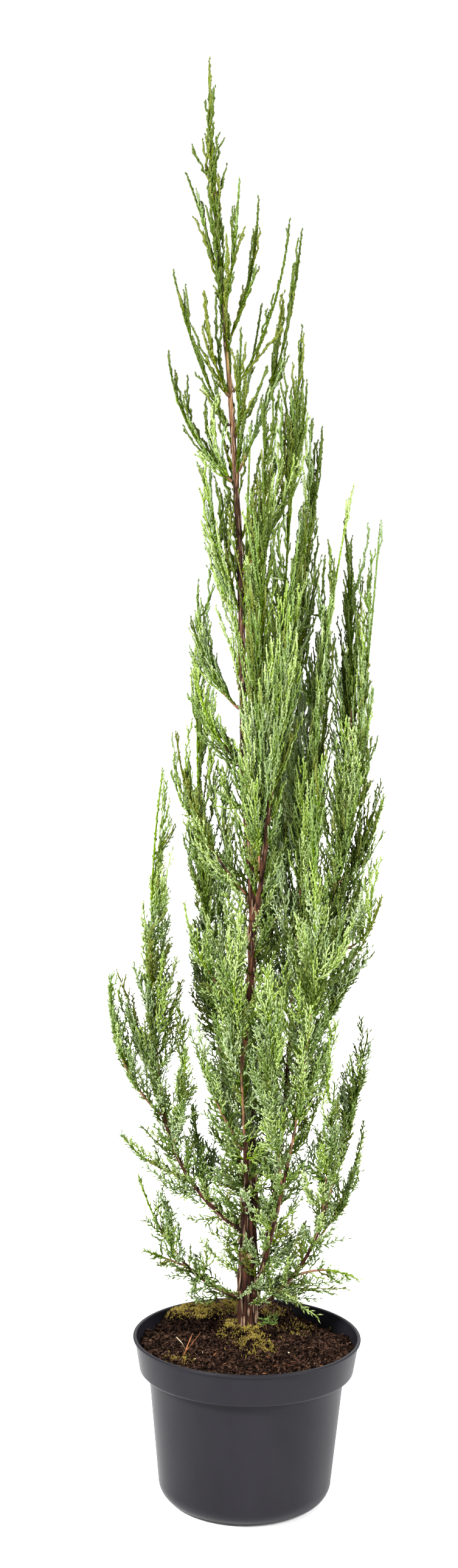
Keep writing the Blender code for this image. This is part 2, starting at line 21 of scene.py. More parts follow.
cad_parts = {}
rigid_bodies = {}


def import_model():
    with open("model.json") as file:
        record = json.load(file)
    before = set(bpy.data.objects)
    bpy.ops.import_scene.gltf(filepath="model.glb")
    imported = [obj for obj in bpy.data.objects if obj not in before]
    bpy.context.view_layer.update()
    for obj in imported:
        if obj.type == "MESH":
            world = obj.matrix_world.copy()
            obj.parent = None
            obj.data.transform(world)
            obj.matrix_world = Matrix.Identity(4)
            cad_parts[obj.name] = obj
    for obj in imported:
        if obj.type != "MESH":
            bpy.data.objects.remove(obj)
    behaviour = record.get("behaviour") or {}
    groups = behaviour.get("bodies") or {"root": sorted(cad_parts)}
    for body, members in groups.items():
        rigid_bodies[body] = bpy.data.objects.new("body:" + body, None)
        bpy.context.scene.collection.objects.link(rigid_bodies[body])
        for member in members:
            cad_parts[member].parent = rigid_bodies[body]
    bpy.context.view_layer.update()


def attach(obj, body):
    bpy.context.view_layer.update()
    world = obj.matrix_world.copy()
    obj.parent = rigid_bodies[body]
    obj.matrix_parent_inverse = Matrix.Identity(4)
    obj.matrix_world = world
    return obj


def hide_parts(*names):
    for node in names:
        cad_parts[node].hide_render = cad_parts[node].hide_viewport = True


LOG = logging.getLogger("juniper")
ROOT = "root"
TRIANGLES_A_PIECE = 180_000
GAP = 0.0003
UP = np.array((0.0, 0.0, 1.0))
LEVEL = np.array((1.0, 1.0, 0.0))
Array = np.ndarray
Row = Tuple[float, ...]
Pair = Tuple[float, float]
Place = Tuple[float, float, float]
Colour = Tuple[float, float, float]
Bend = Tuple[Array, Array, Array]
Draw = np.random.Generator
NodeTree = bpy.types.NodeTree
Socket = bpy.types.NodeSocket
Object = bpy.types.Object


@dataclass(frozen=True)
class Limb:
    """What boughs and masses share: a curve from the parent's bark at a height to a tip.

    The lean is degrees off upright where it starts, and the swing is the share of its sideways reach that this
    first course would make.  With no foot height it grows on from its parent's tip with no lean, and its swing
    is the share of its way that it first keeps to the parent's heading.
    """

    name: str
    parent: str
    foot_height: Optional[float]
    tip: Place
    lean: float
    swing: float


@dataclass(frozen=True)
class Bough(Limb):
    """A limb of bare wood."""

    foot_radius: float
    tip_radius: float


@dataclass(frozen=True)
class Mass(Limb):
    """A mass of shoots round one stem, and how far it reaches from that."""

    reach: float


# The trunk, as height, place to the right, place to the back, and radius
TRUNK_STATIONS = (
    (0.1762, 0.0010, 0.031, 0.0104),
    (0.1860, 0.0005, 0.031, 0.0098),
    (0.2160, -0.0003, 0.031, 0.0094),
    (0.2640, -0.0004, 0.031, 0.0084),
    (0.3250, 0.0010, 0.030, 0.0068),
    (0.3830, -0.0024, 0.028, 0.0056),
    (0.4530, -0.0080, 0.025, 0.0047),
    (0.5070, -0.0034, 0.022, 0.0042),
    (0.6050, -0.0014, 0.016, 0.0038),
    (0.7280, -0.0110, 0.010, 0.0035),
    (0.9080, -0.0178, 0.007, 0.0031),
    (1.0320, -0.0249, 0.005, 0.0027),
    (1.1660, -0.0363, 0.003, 0.0020),
    (1.3020, -0.0499, 0.001, 0.0012),
)

BOUGHS = tuple(Bough(*row) for row in (
    ("bough_left_low", "trunk", 0.202, (-0.072, 0.052, 0.238), 80, 0.60, 0.0019, 0.0012),
    ("bough_left", "trunk", 0.274, (-0.090, 0.022, 0.412), 53, 0.87, 0.0023, 0.0014),
    ("bough_inner_left", "trunk", 0.300, (-0.006, -0.010, 0.384), 24, 0.56, 0.0022, 0.0015),
    ("bough_right_back", "trunk", 0.212, (0.039, 0.025, 0.500), 9, 0.74, 0.0027, 0.0018),
    ("bough_right_slim", "trunk", 0.207, (0.037, -0.023, 0.356), 23, 0.58, 0.0022, 0.0015),
    ("bough_right_low", "trunk", 0.191, (0.076, 0.006, 0.302), 50, 0.77, 0.0020, 0.0014),
    ("bough_second_leader", "trunk", 0.600, (0.014, -0.018, 0.742), 19, 0.65, 0.0026, 0.0018),
    ("bough_right_far", "bough_right_back", 0.485, (0.090, 0.018, 0.742), 19, 0.88, 0.0019, 0.0013),
    ("bough_back_left", "trunk", 0.319, (-0.029, 0.069, 0.425), 27, 0.63, 0.0023, 0.0017),
    ("bough_back_right", "trunk", 0.389, (0.012, 0.064, 0.498), 20, 0.60, 0.0022, 0.0016),
))

MASSES = tuple(Mass(*row) for row in (
    ("leader", "trunk", None, (-0.056, -0.002, 1.428), 0, 0.45, 0.020),
    ("top_left", "trunk", 1.220, (-0.077, 0.014, 1.322), 14, 0.40, 0.011),
    ("top_front", "trunk", 1.197, (-0.026, -0.016, 1.318), 17, 0.80, 0.011),
    ("top_right", "trunk", 1.166, (-0.008, 0.016, 1.301), 29, 1.00, 0.012),
    ("upper_right", "trunk", 1.117, (0.022, -0.014, 1.281), 34, 0.88, 0.014),
    ("upper_right_back", "trunk", 1.041, (0.034, 0.014, 1.273), 25, 0.86, 0.018),
    ("upper_left_front", "trunk", 1.114, (-0.057, -0.028, 1.212), 40, 0.90, 0.012),
    ("upper_left", "trunk", 1.085, (-0.088, 0.000, 1.232), 30, 0.66, 0.013),
    ("mid_left_outer", "trunk", 1.032, (-0.092, 0.012, 1.154), 50, 0.87, 0.018),
    ("upper_front", "trunk", 1.027, (-0.022, -0.036, 1.179), 19, 0.63, 0.013),
    ("mid_back_right", "trunk", 1.073, (-0.003, 0.048, 1.200), 26, 0.64, 0.017),
    ("mid_right_front", "trunk", 0.944, (0.041, -0.036, 1.132), 42, 0.98, 0.024),
    ("second_leader_top", "bough_second_leader", None, (0.036, 0.000, 1.184), 0, 0.50, 0.026),
    ("second_leader_right", "bough_second_leader", 0.721, (0.058, 0.034, 1.080), 14, 0.50, 0.025),
    ("front_centre", "bough_second_leader", 0.651, (0.002, -0.062, 1.112), 12, 0.60, 0.029),
    ("mid_left", "trunk", 0.914, (-0.050, -0.012, 1.051), 31, 0.95, 0.022),
    ("left_slim", "trunk", 0.810, (-0.060, 0.016, 0.934), 51, 1.10, 0.017),
    ("left_front", "trunk", 0.753, (-0.062, -0.046, 0.855), 52, 0.75, 0.022),
    ("left_outer", "trunk", 0.624, (-0.079, 0.006, 0.785), 43, 0.88, 0.024),
    ("left_lower", "trunk", 0.506, (-0.069, -0.018, 0.623), 54, 0.84, 0.025),
    ("right_crest", "bough_right_back", None, (0.088, -0.018, 1.032), 0, 0.66, 0.024),
    ("right_far_top", "bough_right_far", None, (0.081, 0.034, 0.996), 0, 0.50, 0.018),
    ("right_far_outer", "bough_right_far", 0.730, (0.115, 0.004, 0.996), 16, 0.50, 0.015),
    ("right_far_front", "bough_right_far", 0.667, (0.111, -0.024, 0.838), 24, 0.60, 0.020),
    ("right_far_back", "bough_right_far", 0.635, (0.126, 0.036, 0.720), 50, 0.79, 0.019),
    ("right_far_low", "bough_right_far", 0.564, (0.123, -0.024, 0.631), 80, 0.87, 0.019),
    ("inner_left_low", "bough_inner_left", 0.368, (-0.055, -0.034, 0.483), 33, 0.73, 0.022),
    ("inner_left_top", "bough_inner_left", None, (-0.025, -0.062, 0.603), 0, 0.50, 0.025),
    ("right_middle", "bough_right_back", 0.420, (0.082, -0.008, 0.526), 29, 0.60, 0.021),
    ("right_slim_top", "bough_right_slim", None, (0.056, -0.056, 0.677), 0, 0.60, 0.024),
    ("front_right", "bough_right_slim", 0.338, (0.014, -0.082, 0.573), 22, 0.60, 0.026),
    ("right_low_top", "bough_right_low", None, (0.116, 0.012, 0.487), 0, 0.50, 0.020),
    ("right_low_inner", "bough_right_low", 0.289, (0.082, -0.040, 0.451), 25, 0.60, 0.020),
    ("right_low_outer", "bough_right_low", 0.263, (0.115, 0.044, 0.378), 46, 0.79, 0.019),
    ("right_low_hanging", "bough_right_low", 0.233, (0.112, 0.010, 0.230), 66, 0.52, 0.017),
    ("left_top", "bough_left", None, (-0.092, 0.020, 0.749), 0, 0.55, 0.021),
    ("left_far", "bough_left", 0.395, (-0.141, 0.010, 0.542), 47, 1.10, 0.022),
    ("left_inner", "bough_left", 0.363, (-0.064, -0.026, 0.478), 30, 0.60, 0.020),
    ("left_far_low", "bough_left", 0.331, (-0.131, 0.036, 0.371), 80, 0.67, 0.016),
    ("left_back_low", "bough_left", 0.304, (-0.059, 0.064, 0.396), 35, 0.60, 0.020),
    ("left_low_top", "bough_left_low", None, (-0.113, 0.058, 0.320), 0, 0.45, 0.018),
    ("left_low_hanging", "bough_left_low", 0.229, (-0.106, 0.030, 0.250), 65, 0.60, 0.015),
    ("back_left_top", "bough_back_left", None, (-0.058, 0.060, 0.890), 0, 0.55, 0.028),
    ("back_left_low", "bough_back_left", 0.405, (-0.036, 0.100, 0.599), 24, 0.60, 0.025),
    ("back_right_top", "bough_back_right", None, (0.042, 0.060, 0.994), 0, 0.55, 0.029),
    ("back_right_low", "bough_back_right", 0.479, (0.061, 0.096, 0.695), 26, 0.84, 0.026),
    ("back_centre", "trunk", 0.884, (-0.012, 0.060, 1.082), 18, 0.60, 0.025),
))
MASS_NAMES = [mass.name for mass in MASSES]


class Line:
    """The centre line of a limb or a stem, with the heading and the radius at each of its points."""

    def __init__(self, points: Array, headings: Array, radii: Array) -> None:
        """Measures the line.

        Args:
            points: The places along it, one a row.
            headings: The direction in which it runs at each place.
            radii: The radius at each place.
        """
        self.points, self.headings, self.radii = points, headings, radii
        steps = np.linalg.norm(np.diff(points, axis=0), axis=1)
        self.length = float(steps.sum())
        self.shares = np.concatenate(([0.0], np.cumsum(steps))) / self.length

    def at(self, share: Union[float, Array]) -> Array:
        """Returns the place at a share of the length, or those at several as rows."""
        return np.array([np.interp(share, self.shares, self.points[:, axis]) for axis in range(3)]).T

    def radius(self, share: float) -> float:
        """Returns the radius at this share of the length."""
        return float(np.interp(share, self.shares, self.radii))

    def heading(self, share: float) -> Array:
        """Returns the direction in which the line runs at this share of the length."""
        return unit(np.array([np.interp(share, self.shares, self.headings[:, axis]) for axis in range(3)]))

    def share_at_height(self, height: float) -> float:
        """Returns the share of the length at which a rising line reaches a height."""
        return float(np.interp(height, self.points[:, 2], self.shares))

    def nearest(self, places: Array) -> Tuple[Array, Array]:
        """Finds how near the line comes.

        Args:
            places: Places, one a row.

        Returns:
            Each place's distance from the line, and the share of the length where it is nearest.
        """
        start = self.points[:-1]
        step = self.points[1:] - start
        along = np.clip(((places[:, None] - start) * step).sum(2) / (step * step).sum(1), 0.0, 1.0)
        away = np.linalg.norm(places[:, None] - start - step * along[:, :, None], axis=2)
        rows, best = np.arange(len(places)), away.argmin(1)
        return away[rows, best], self.shares[best] + along[rows, best] * np.diff(self.shares)[best]


def unit(vector: Array) -> Array:
    """Returns the vector, or each row of vectors, at length one."""
    return vector / np.linalg.norm(vector, axis=-1, keepdims=True)


def clamped(value: float) -> float:
    """Returns the value, kept between nought and one."""
    return min(max(value, 0.0), 1.0)


def bent(foot: Array, control: Array, tip: Array, share: Array) -> Array:
    """Returns the place on a curve that leaves the foot towards a control point and arrives at the tip."""
    return (1 - share) ** 2 * foot + 2 * share * (1 - share) * control + share ** 2 * tip


def smooth_through(stations: Sequence[Sequence[float]], count: int) -> Array:
    """Draws a smooth curve through rows of numbers.

    Args:
        stations: The rows to pass through.
        count: How many rows to return.

    Returns:
        Rows on the curve, evenly spaced in row number.
    """
    rows = np.asarray(stations, float)
    padded = np.vstack((2 * rows[0] - rows[1], rows, 2 * rows[-1] - rows[-2]))
    where = np.linspace(0, len(rows) - 1, count)
    low = np.minimum(where.astype(int), len(rows) - 2)
    share = (where - low)[:, None]
    before, start, end, after = (padded[low + step] for step in range(4))
    slope, next_slope = 0.5 * (end - before), 0.5 * (after - start)
    cubic = 2 * (start - end) + slope + next_slope
    square = 3 * (end - start) - 2 * slope - next_slope
    return start + share * (slope + share * (square + share * cubic))


@dataclass
class Skeleton:
    """The centre lines of the trunk, the boughs and the masses' stems, by the rule of the part's source."""

    trunk_points: int = 18
    bough_points: int = 8
    stem_points: int = 6
    stem_radii: Pair = (0.0013, 0.0009)

    def __post_init__(self) -> None:
        """Draws every line, parents first."""
        rows = smooth_through(TRUNK_STATIONS, self.trunk_points)
        headings = np.gradient(rows[:, [1, 2, 0]], axis=0)
        headings[0] = UP
        self.limbs = {"trunk": Line(rows[:, [1, 2, 0]], headings, rows[:, 3])}
        self.stems: Dict[str, Line] = {}
        self.bends: Dict[str, Bend] = {}
        for bough in BOUGHS:
            self.bends[bough.name] = self.side_bend(bough, bough.foot_radius)
            self.limbs[bough.name] = self.line(bough, (bough.foot_radius, bough.tip_radius), self.bough_points)
        for mass in MASSES:
            onward = mass.foot_height is None
            self.bends[mass.name] = self.onward_bend(mass) if onward else self.side_bend(mass, self.stem_radii[0] / 2)
            self.stems[mass.name] = self.line(mass, self.stem_radii, self.stem_points)

    def line(self, limb: Limb, radii: Pair, points: int) -> Line:
        """Draws a limb along its bend.

        Args:
            limb: The limb.
            radii: The radius at its foot and at its tip.
            points: How many points to draw.

        Returns:
            The line.
        """
        foot, control, tip = self.bends[limb.name]
        shares = np.linspace(0.0, 1.0, points)[:, None]
        headings = (1 - shares) * (control - foot) + shares * (tip - control)
        return Line(bent(foot, control, tip, shares), headings, np.linspace(*radii, points))

    def side_bend(self, limb: Limb, inner_radius: float) -> Bend:
        """Bends a limb that leaves its parent's bark at a lean and turns up to its tip.

        Args:
            limb: Its sizes.
            inner_radius: How far its section reaches towards the parent.

        Returns:
            Its foot, control point and tip.
        """
        parent, lean, tip = self.limbs[limb.parent], math.radians(limb.lean), np.array(limb.tip)
        share = parent.share_at_height(limb.foot_height)
        axis, along = parent.at(share), parent.heading(share)
        heading = math.sin(lean) * unit((tip - axis) * LEVEL) + math.cos(lean) * UP
        outward = unit(heading - heading @ along * along)
        half_width = inner_radius * math.sqrt(1.0 - (outward @ heading) ** 2)
        foot = axis + outward * (parent.radius(share) + GAP + half_width)
        first_course = (tip - foot) * LEVEL * limb.swing
        return foot, foot + first_course + UP * np.linalg.norm(first_course) / math.tan(lean), tip

    def onward_bend(self, mass: Mass) -> Bend:
        """Bends a stem that grows on from its parent's tip.

        Args:
            mass: Its mass.

        Returns:
            Its foot, control point and tip.
        """
        parent, tip = self.limbs[mass.parent], np.array(mass.tip)
        foot = parent.at(1.0) + parent.heading(1.0) * GAP
        return foot, foot + parent.heading(1.0) * mass.swing * np.linalg.norm(tip - foot), tip


@dataclass(frozen=True)
class PlumeRule:
    """The rule by which plumes leave a stem and keep to their mass's room, as in the part's source."""

    spacing: float = 0.0168
    golden_angle: float = math.radians(137.5)
    turn_spread: float = 0.35
    start_lean: float = math.radians(38.0)
    end_lean: float = math.radians(10.0)
    length: float = 2.6
    first: float = 0.07
    last: float = 0.91
    shorter: float = 0.82
    length_tries: int = 6
    turn_tries: int = 4
    shortest: float = 0.016
    fewest: int = 3
    flame_shares: Row = (0.0, 0.35, 0.80, 1.0)
    flame_reaches: Row = (0.75, 1.0, 0.62, 0.30)
    teeth: Tuple[Tuple[int, float, float], ...] = ((1, 0.44, 0.215), (-1, 0.60, 0.205), (1, 0.78, 0.150))
    notch_below: float = 0.06
    notch_share: float = 0.42
    tested_shares: Row = (0.2, 0.3, 0.4, 0.5, 0.6, 0.7, 0.8, 0.9)
    outermost: float = 1.55
    nearer_by: float = 0.93
    limb_clearance: float = 0.0016

    def reach_at(self, mass: Mass, share: Array) -> Array:
        """Returns how far a mass reaches from its stem at shares of the stem's length."""
        return mass.reach * np.interp(share, self.flame_shares, self.flame_reaches)


RULE = PlumeRule()


class Room:
    """The space of one mass.

    It is what lies within the mass's reach, nearer to its stem than to the others for their reach, and clear
    of the trunk and the boughs.
    """

    def __init__(self, mass: Mass, skeleton: Skeleton) -> None:
        """Gathers the lines that bound the room.

        Args:
            mass: The mass that it is for.
            skeleton: The lines of the plant.
        """
        self.mass = mass
        self.stem = skeleton.stems[mass.name]
        self.others = [(other, skeleton.stems[other.name]) for other in MASSES if other is not mass]
        self.limbs = skeleton.limbs.values()

    @staticmethod
    def share_of_reach(mass: Mass, stem: Line, places: Array) -> Array:
        """Returns the places' distances from a stem, as shares of how far the mass reaches there."""
        away, shares = stem.nearest(places)
        return away / RULE.reach_at(mass, shares)

    def holds(self, places: Array) -> bool:
        """Tells whether all the places are inside the room.

        Args:
            places: Places, one a row.

        Returns:
            Whether the room holds them.
        """
        own = self.share_of_reach(self.mass, self.stem, places)
        if own.max() > RULE.outermost:
            return False
        for limb in self.limbs:
            away, shares = limb.nearest(places)
            if (away < np.interp(shares, limb.shares, limb.radii) + RULE.limb_clearance).any():
                return False
        return all((own < RULE.nearer_by * self.share_of_reach(*other, places)).all() for other in self.others)

    def fitted_plume(self, number: float, count: int) -> "Optional[Plume]":
        """Turns a plume on and shortens it until it fits the room.

        Args:
            number: Which plume of the mass it is.
            count: How many the rule deals out.

        Returns:
            The plume, or nothing if no length fits.
        """
        plume = Plume(self, number, count)
        for _ in range(RULE.length_tries):
            for turns in range(RULE.turn_tries):
                plume.aim(plume.turn + turns * RULE.golden_angle)
                if self.holds(plume.tested()):
                    return plume
            plume.length *= RULE.shorter
            if plume.length < RULE.shortest:
                return None
        return None


class Plume:
    """One plume: a curved rib in a plane of its own, which leaves the stem at one lean and ends at a smaller."""

    def __init__(self, room: Room, number: float, count: int) -> None:
        """Draws the plume's sizes from its mass's and its own number.

        Args:
            room: The space of its mass.
            number: Which plume of the mass it is; a half one stands between two of the source's.
            count: How many the rule deals out.
        """
        index = MASSES.index(room.mass)
        draw = random.Random(1000 * index + number)
        spread = draw.uniform(-RULE.turn_spread, RULE.turn_spread)
        self.share = RULE.first + (RULE.last - RULE.first) * (number + 0.5) / count
        self.foot, self.heading = room.stem.at(self.share), room.stem.heading(self.share)
        self.turn = index + number * RULE.golden_angle + spread
        self.leans = (RULE.start_lean * draw.uniform(0.85, 1.15), RULE.end_lean * draw.uniform(0.5, 1.5))
        self.length = float(RULE.reach_at(room.mass, self.share)) * RULE.length * draw.uniform(0.85, 1.1)
        self.aim(self.turn)

    def aim(self, turn: float) -> None:
        """Turns the plume's plane round the stem.

        Args:
            turn: The plane's turn, in radians.
        """
        across = unit(np.cross(self.heading, (0.0, 1.0, 0.0)))
        outward = math.cos(turn) * across + math.sin(turn) * np.cross(self.heading, across)
        self.start, self.end = (math.cos(lean) * self.heading + math.sin(lean) * outward for lean in self.leans)
        self.normal = np.cross(outward, self.heading)

    def bend(self) -> Bend:
        """Returns the rib's foot, control point and tip."""
        control = self.foot + self.start * self.length / 2
        return self.foot, control, control + self.end * self.length / 2

    def beside(self, share: float, offset: float) -> Array:
        """Returns the place beside the rib, in the plume's plane."""
        heading = unit((1 - share) * self.start + share * self.end)
        return bent(*self.bend(), share) + offset * np.cross(self.normal, heading)

    def tested(self) -> Array:
        """Returns places all over the plume outside its root: corners, middles of its sides, and its rib."""
        sides = {1: [], -1: []}
        for side, tip, reach in RULE.teeth:
            offset = side * reach * self.length
            sides[side].append(self.beside(tip, offset))
            sides[side].append(self.beside(tip - RULE.notch_below, offset * RULE.notch_share))
        corners = np.array(sides[1] + [bent(*self.bend(), 1.0)] + sides[-1][::-1])
        rib = [bent(*self.bend(), share) for share in RULE.tested_shares]
        return np.vstack((corners, (corners[1:] + corners[:-1]) / 2, rib))


@dataclass
class Twigs:
    """Many twigs, one a row: curves from a foot past a control point to a tip.

    Each has one tint, the number of the mass that it belongs to, or less than nought on a limb's own bark, and a
    sway, which is how far it winds to and fro about its curve.
    """

    foot: Array
    control: Array
    tip: Array
    radius: Array
    tint: Array
    mass: Array
    sway: Array

    def __len__(self) -> int:
        """Returns how many twigs there are."""
        return len(self.foot)

    def legs(self, rows: Union[Array, slice] = slice(None)) -> Tuple[Array, Array]:
        """Returns the ways from the feet to the control points and from those to the tips."""
        return self.control[rows] - self.foot[rows], self.tip[rows] - self.control[rows]

    def length(self) -> Array:
        """Returns the lengths of the two legs together."""
        return sum(np.linalg.norm(leg, axis=1) for leg in self.legs())

    def chosen(self, rows: Array) -> "Twigs":
        """Returns the twigs of these rows."""
        return Twigs(*(getattr(self, field.name)[rows] for field in fields(self)))

    def places(self, rows: Array, shares: Array) -> Array:
        """Finds places on the twigs.

        Args:
            rows: The number of a twig for each place.
            shares: The share of its length.

        Returns:
            The places.
        """
        curve = bent(self.foot[rows], self.control[rows], self.tip[rows], shares[:, None])
        way = self.tip[rows] - self.foot[rows]
        turns = PHASE * self.tip[rows].sum(1) + math.tau * shares * np.linalg.norm(way, axis=1) / WINDING
        winding = np.cos(turns)[:, None] * unit(np.cross(way, ASKEW))
        winding += 0.8 * np.sin(0.7 * turns)[:, None] * np.array((0.8, -0.5, 0.3))
        return curve + (self.sway[rows] * np.minimum(4.0 * shares, 1.0))[:, None] * winding

    def headings(self, rows: Array, shares: Array) -> Array:
        """Returns the headings at shares of the twigs of these rows."""
        first, second = self.legs(rows)
        return unit((1 - shares[:, None]) * first + shares[:, None] * second)

    def between(self, start: Array, end: Array) -> "Twigs":
        """Cuts each twig to the stretch between two shares of it.

        Args:
            start: The share where each stretch begins.
            end: The share where it ends.

        Returns:
            The stretches.
        """
        rows = np.arange(len(self))
        low, high = start[:, None], end[:, None]
        control = (1 - low) * (1 - high) * self.foot + (low + high - 2 * low * high) * self.control
        control += low * high * self.tip
        return replace(self, foot=self.places(rows, start), control=control, tip=self.places(rows, end))

    @staticmethod
    def joined(parts: "Sequence[Twigs]") -> "Twigs":
        """Returns all the twigs of several sets."""
        return Twigs(*(np.concatenate([getattr(part, field.name) for part in parts]) for field in fields(Twigs)))

    @staticmethod
    def plain(foot: Array, control: Array, tip: Array, radius: Array) -> "Twigs":
        """Returns twigs of the first tint that belong to no mass."""
        none = np.full(len(foot), -1)
        return Twigs(foot, control, tip, radius, none + 1, none, 0.0 * radius)

    @staticmethod
    def straight(foot: Array, way: Array, radius: Array, lift: float = 0.0) -> "Twigs":
        """Returns plain twigs that run along their ways, with their tips a little higher."""
        return Twigs.plain(foot, foot + way * 0.5, foot + way + UP * lift, radius)


# How far a twig grows while it winds once to and fro, how much each starts off the next, and a way that none runs
WINDING = 0.013
PHASE = 9000.0
ASKEW = (0.31, 0.87, 0.38)
HABIT_HEIGHTS = (0.45, 0.80, 1.10)


@dataclass(frozen=True)
class Habit:
    """A size of the twigs at three heights: in the open fronds low down, in the middle, and in the strict cords."""

    low: float
    middle: float
    high: float

    def at(self, places: Array) -> Array:
        """Returns the size at these places."""
        return np.interp(places[:, 2], HABIT_HEIGHTS, (self.low, self.middle, self.high))


@dataclass(frozen=True)
class SideRule:
    """How twigs leave the sides of longer ones.

    Leans are in degrees off the parent's heading, and closing is the share of it that is left at the tip.  The
    rise is how far a twig's tip turns upright, and the taper is how much shorter the last ones are than the
    first.
    """

    spacing: Habit
    first: float
    last: float
    lean: Habit
    closing: Habit
    rise: Habit
    share_of_parent: Habit
    taper: Habit
    shortest: Habit
    longest: Habit
    turn: Habit
    radius: Habit
    sway: float = 0.0
    unevenness: float = 0.22

    def grow(self, parents: Twigs, draw: Draw) -> Twigs:
        """Grows the side twigs.

        Args:
            parents: The twigs that carry them.
            draw: The source of their unevenness.

        Returns:
            The side twigs, each with its parent's tint.
        """
        lengths = parents.length()
        counts = (lengths * (self.last - self.first) / self.spacing.at(parents.foot)).astype(int)
        rows = np.repeat(np.arange(len(parents)), counts)
        order = np.arange(len(rows)) - np.repeat(np.cumsum(counts) - counts, counts)
        shares = self.first + (self.last - self.first) * (order + draw.uniform(0.15, 0.85, len(rows))) / counts[rows]
        heading, foot = parents.headings(rows, shares), parents.places(rows, shares)
        phase = draw.normal(0, 1.0, len(parents))[rows]
        turns = phase + order * np.radians(self.turn.at(foot)) + draw.normal(0.0, 0.30, len(rows))
        outward = square_to(heading, turns)
        leans = np.radians(self.lean.at(foot)) * self.uneven(draw, len(rows))
        sizes = self.share_of_parent.at(foot) * lengths[rows] * (1 - self.taper.at(foot) * shares)
        sizes = np.clip(sizes, self.shortest.at(foot), self.longest.at(foot)) * self.uneven(draw, len(rows))
        start, end = (
            np.cos(lean)[:, None] * heading + np.sin(lean)[:, None] * outward
            for lean in (leans, leans * self.closing.at(foot))
        )
        end += self.rise.at(foot)[:, None] * UP
        control = foot + start * sizes[:, None] / 2
        radius = self.radius.at(foot) * draw.uniform(0.88, 1.12, len(rows))
        tip = control + unit(end) * sizes[:, None] / 2
        sway = np.full(len(rows), self.sway)
        return Twigs(foot, control, tip, radius, parents.tint[rows], parents.mass[rows], sway)

    def uneven(self, draw: Draw, count: int) -> Array:
        """Returns factors spread round one."""
        return draw.uniform(1 - self.unevenness, 1 + self.unevenness, count)


def square_to(heading: Array, turns: Array) -> Array:
    """Returns the directions square to the headings at these turns round them."""
    across = unit(np.cross(heading, ASKEW))
    return np.cos(turns)[..., None] * across + np.sin(turns)[..., None] * np.cross(heading, across)


@dataclass(frozen=True)
class Section:
    """The rings of a twig's mesh, as shares of its length and of its radius.

    A bud starts from a point in place of a ring.  Its attribute "tip" runs between the two numbers of paleness.
    """

    shares: Row
    radii: Row
    bud: bool = False
    paleness: Pair = (0.0, 1.0)

    @staticmethod
    def scaly(rings: int, tip: float, bump: float, paleness: Pair) -> "Section":
        """Returns evenly spaced rings that swell and shrink by turns, like overlapping scale leaves.

        Args:
            rings: How many rings.
            tip: The radius at the last ring, as a share.
            bump: How far the rings swell and shrink.
            paleness: How pale its foot and its tip are.

        Returns:
            The section.
        """
        radii = np.linspace(1.0, tip, rings) * (1 + bump * np.where(np.arange(rings) % 2, 1, -1))
        return Section(tuple(np.linspace(0.0, 0.95, rings)), tuple(radii), paleness=paleness)

    def triangles(self) -> int:
        """Returns how many triangles one twig has."""
        return 6 * (len(self.shares) - 1) + (6 if self.bud else 4)

    def mesh(self, twigs: Twigs) -> "Patch":
        """Builds the twigs: three-sided rings, each turned by half a side on the one before, with a point.

        Args:
            twigs: The twigs.

        Returns:
            Their places, triangles and paleness.
        """
        count, rings = len(twigs), len(self.shares)
        rows = np.arange(count)
        places = np.empty((count, 3 * rings + 1, 3))
        for ring, (share, radius) in enumerate(zip(self.shares, self.radii)):
            at = np.full(count, share)
            centre, heading = twigs.places(rows, at), twigs.headings(rows, at)
            across = unit(np.cross(ASKEW, heading))
            beside = np.cross(heading, across)
            size = (twigs.radius * radius)[:, None]
            for side in range(3):
                turn = math.tau * (side / 3 + ring / 6)
                places[:, 3 * ring + side] = centre + size * (math.cos(turn) * across + math.sin(turn) * beside)
        places[:, -1] = twigs.tip
        corners, last = ((0, 1), (1, 2), (2, 0)), 3 * rings - 3
        faces = []
        for low in range(0, last, 3):
            for side, after in corners:
                faces.append((low + side, low + after, low + 3 + side))
                faces.append((low + after, low + 3 + after, low + 3 + side))
        faces += [(last + side, last + after, 3 * rings) for side, after in corners]
        values = np.append(np.repeat(self.shares, 3), 1.0)
        if self.bud:
            places = np.concatenate((places, twigs.foot[:, None]), axis=1)
            faces += [(after, side, 3 * rings + 1) for side, after in corners]
            values = np.append(values, 0.0)
        else:
            faces.append((0, 2, 1))
        low, high = self.paleness
        return Patch.repeated(places, np.array(faces), low + (high - low) * values)


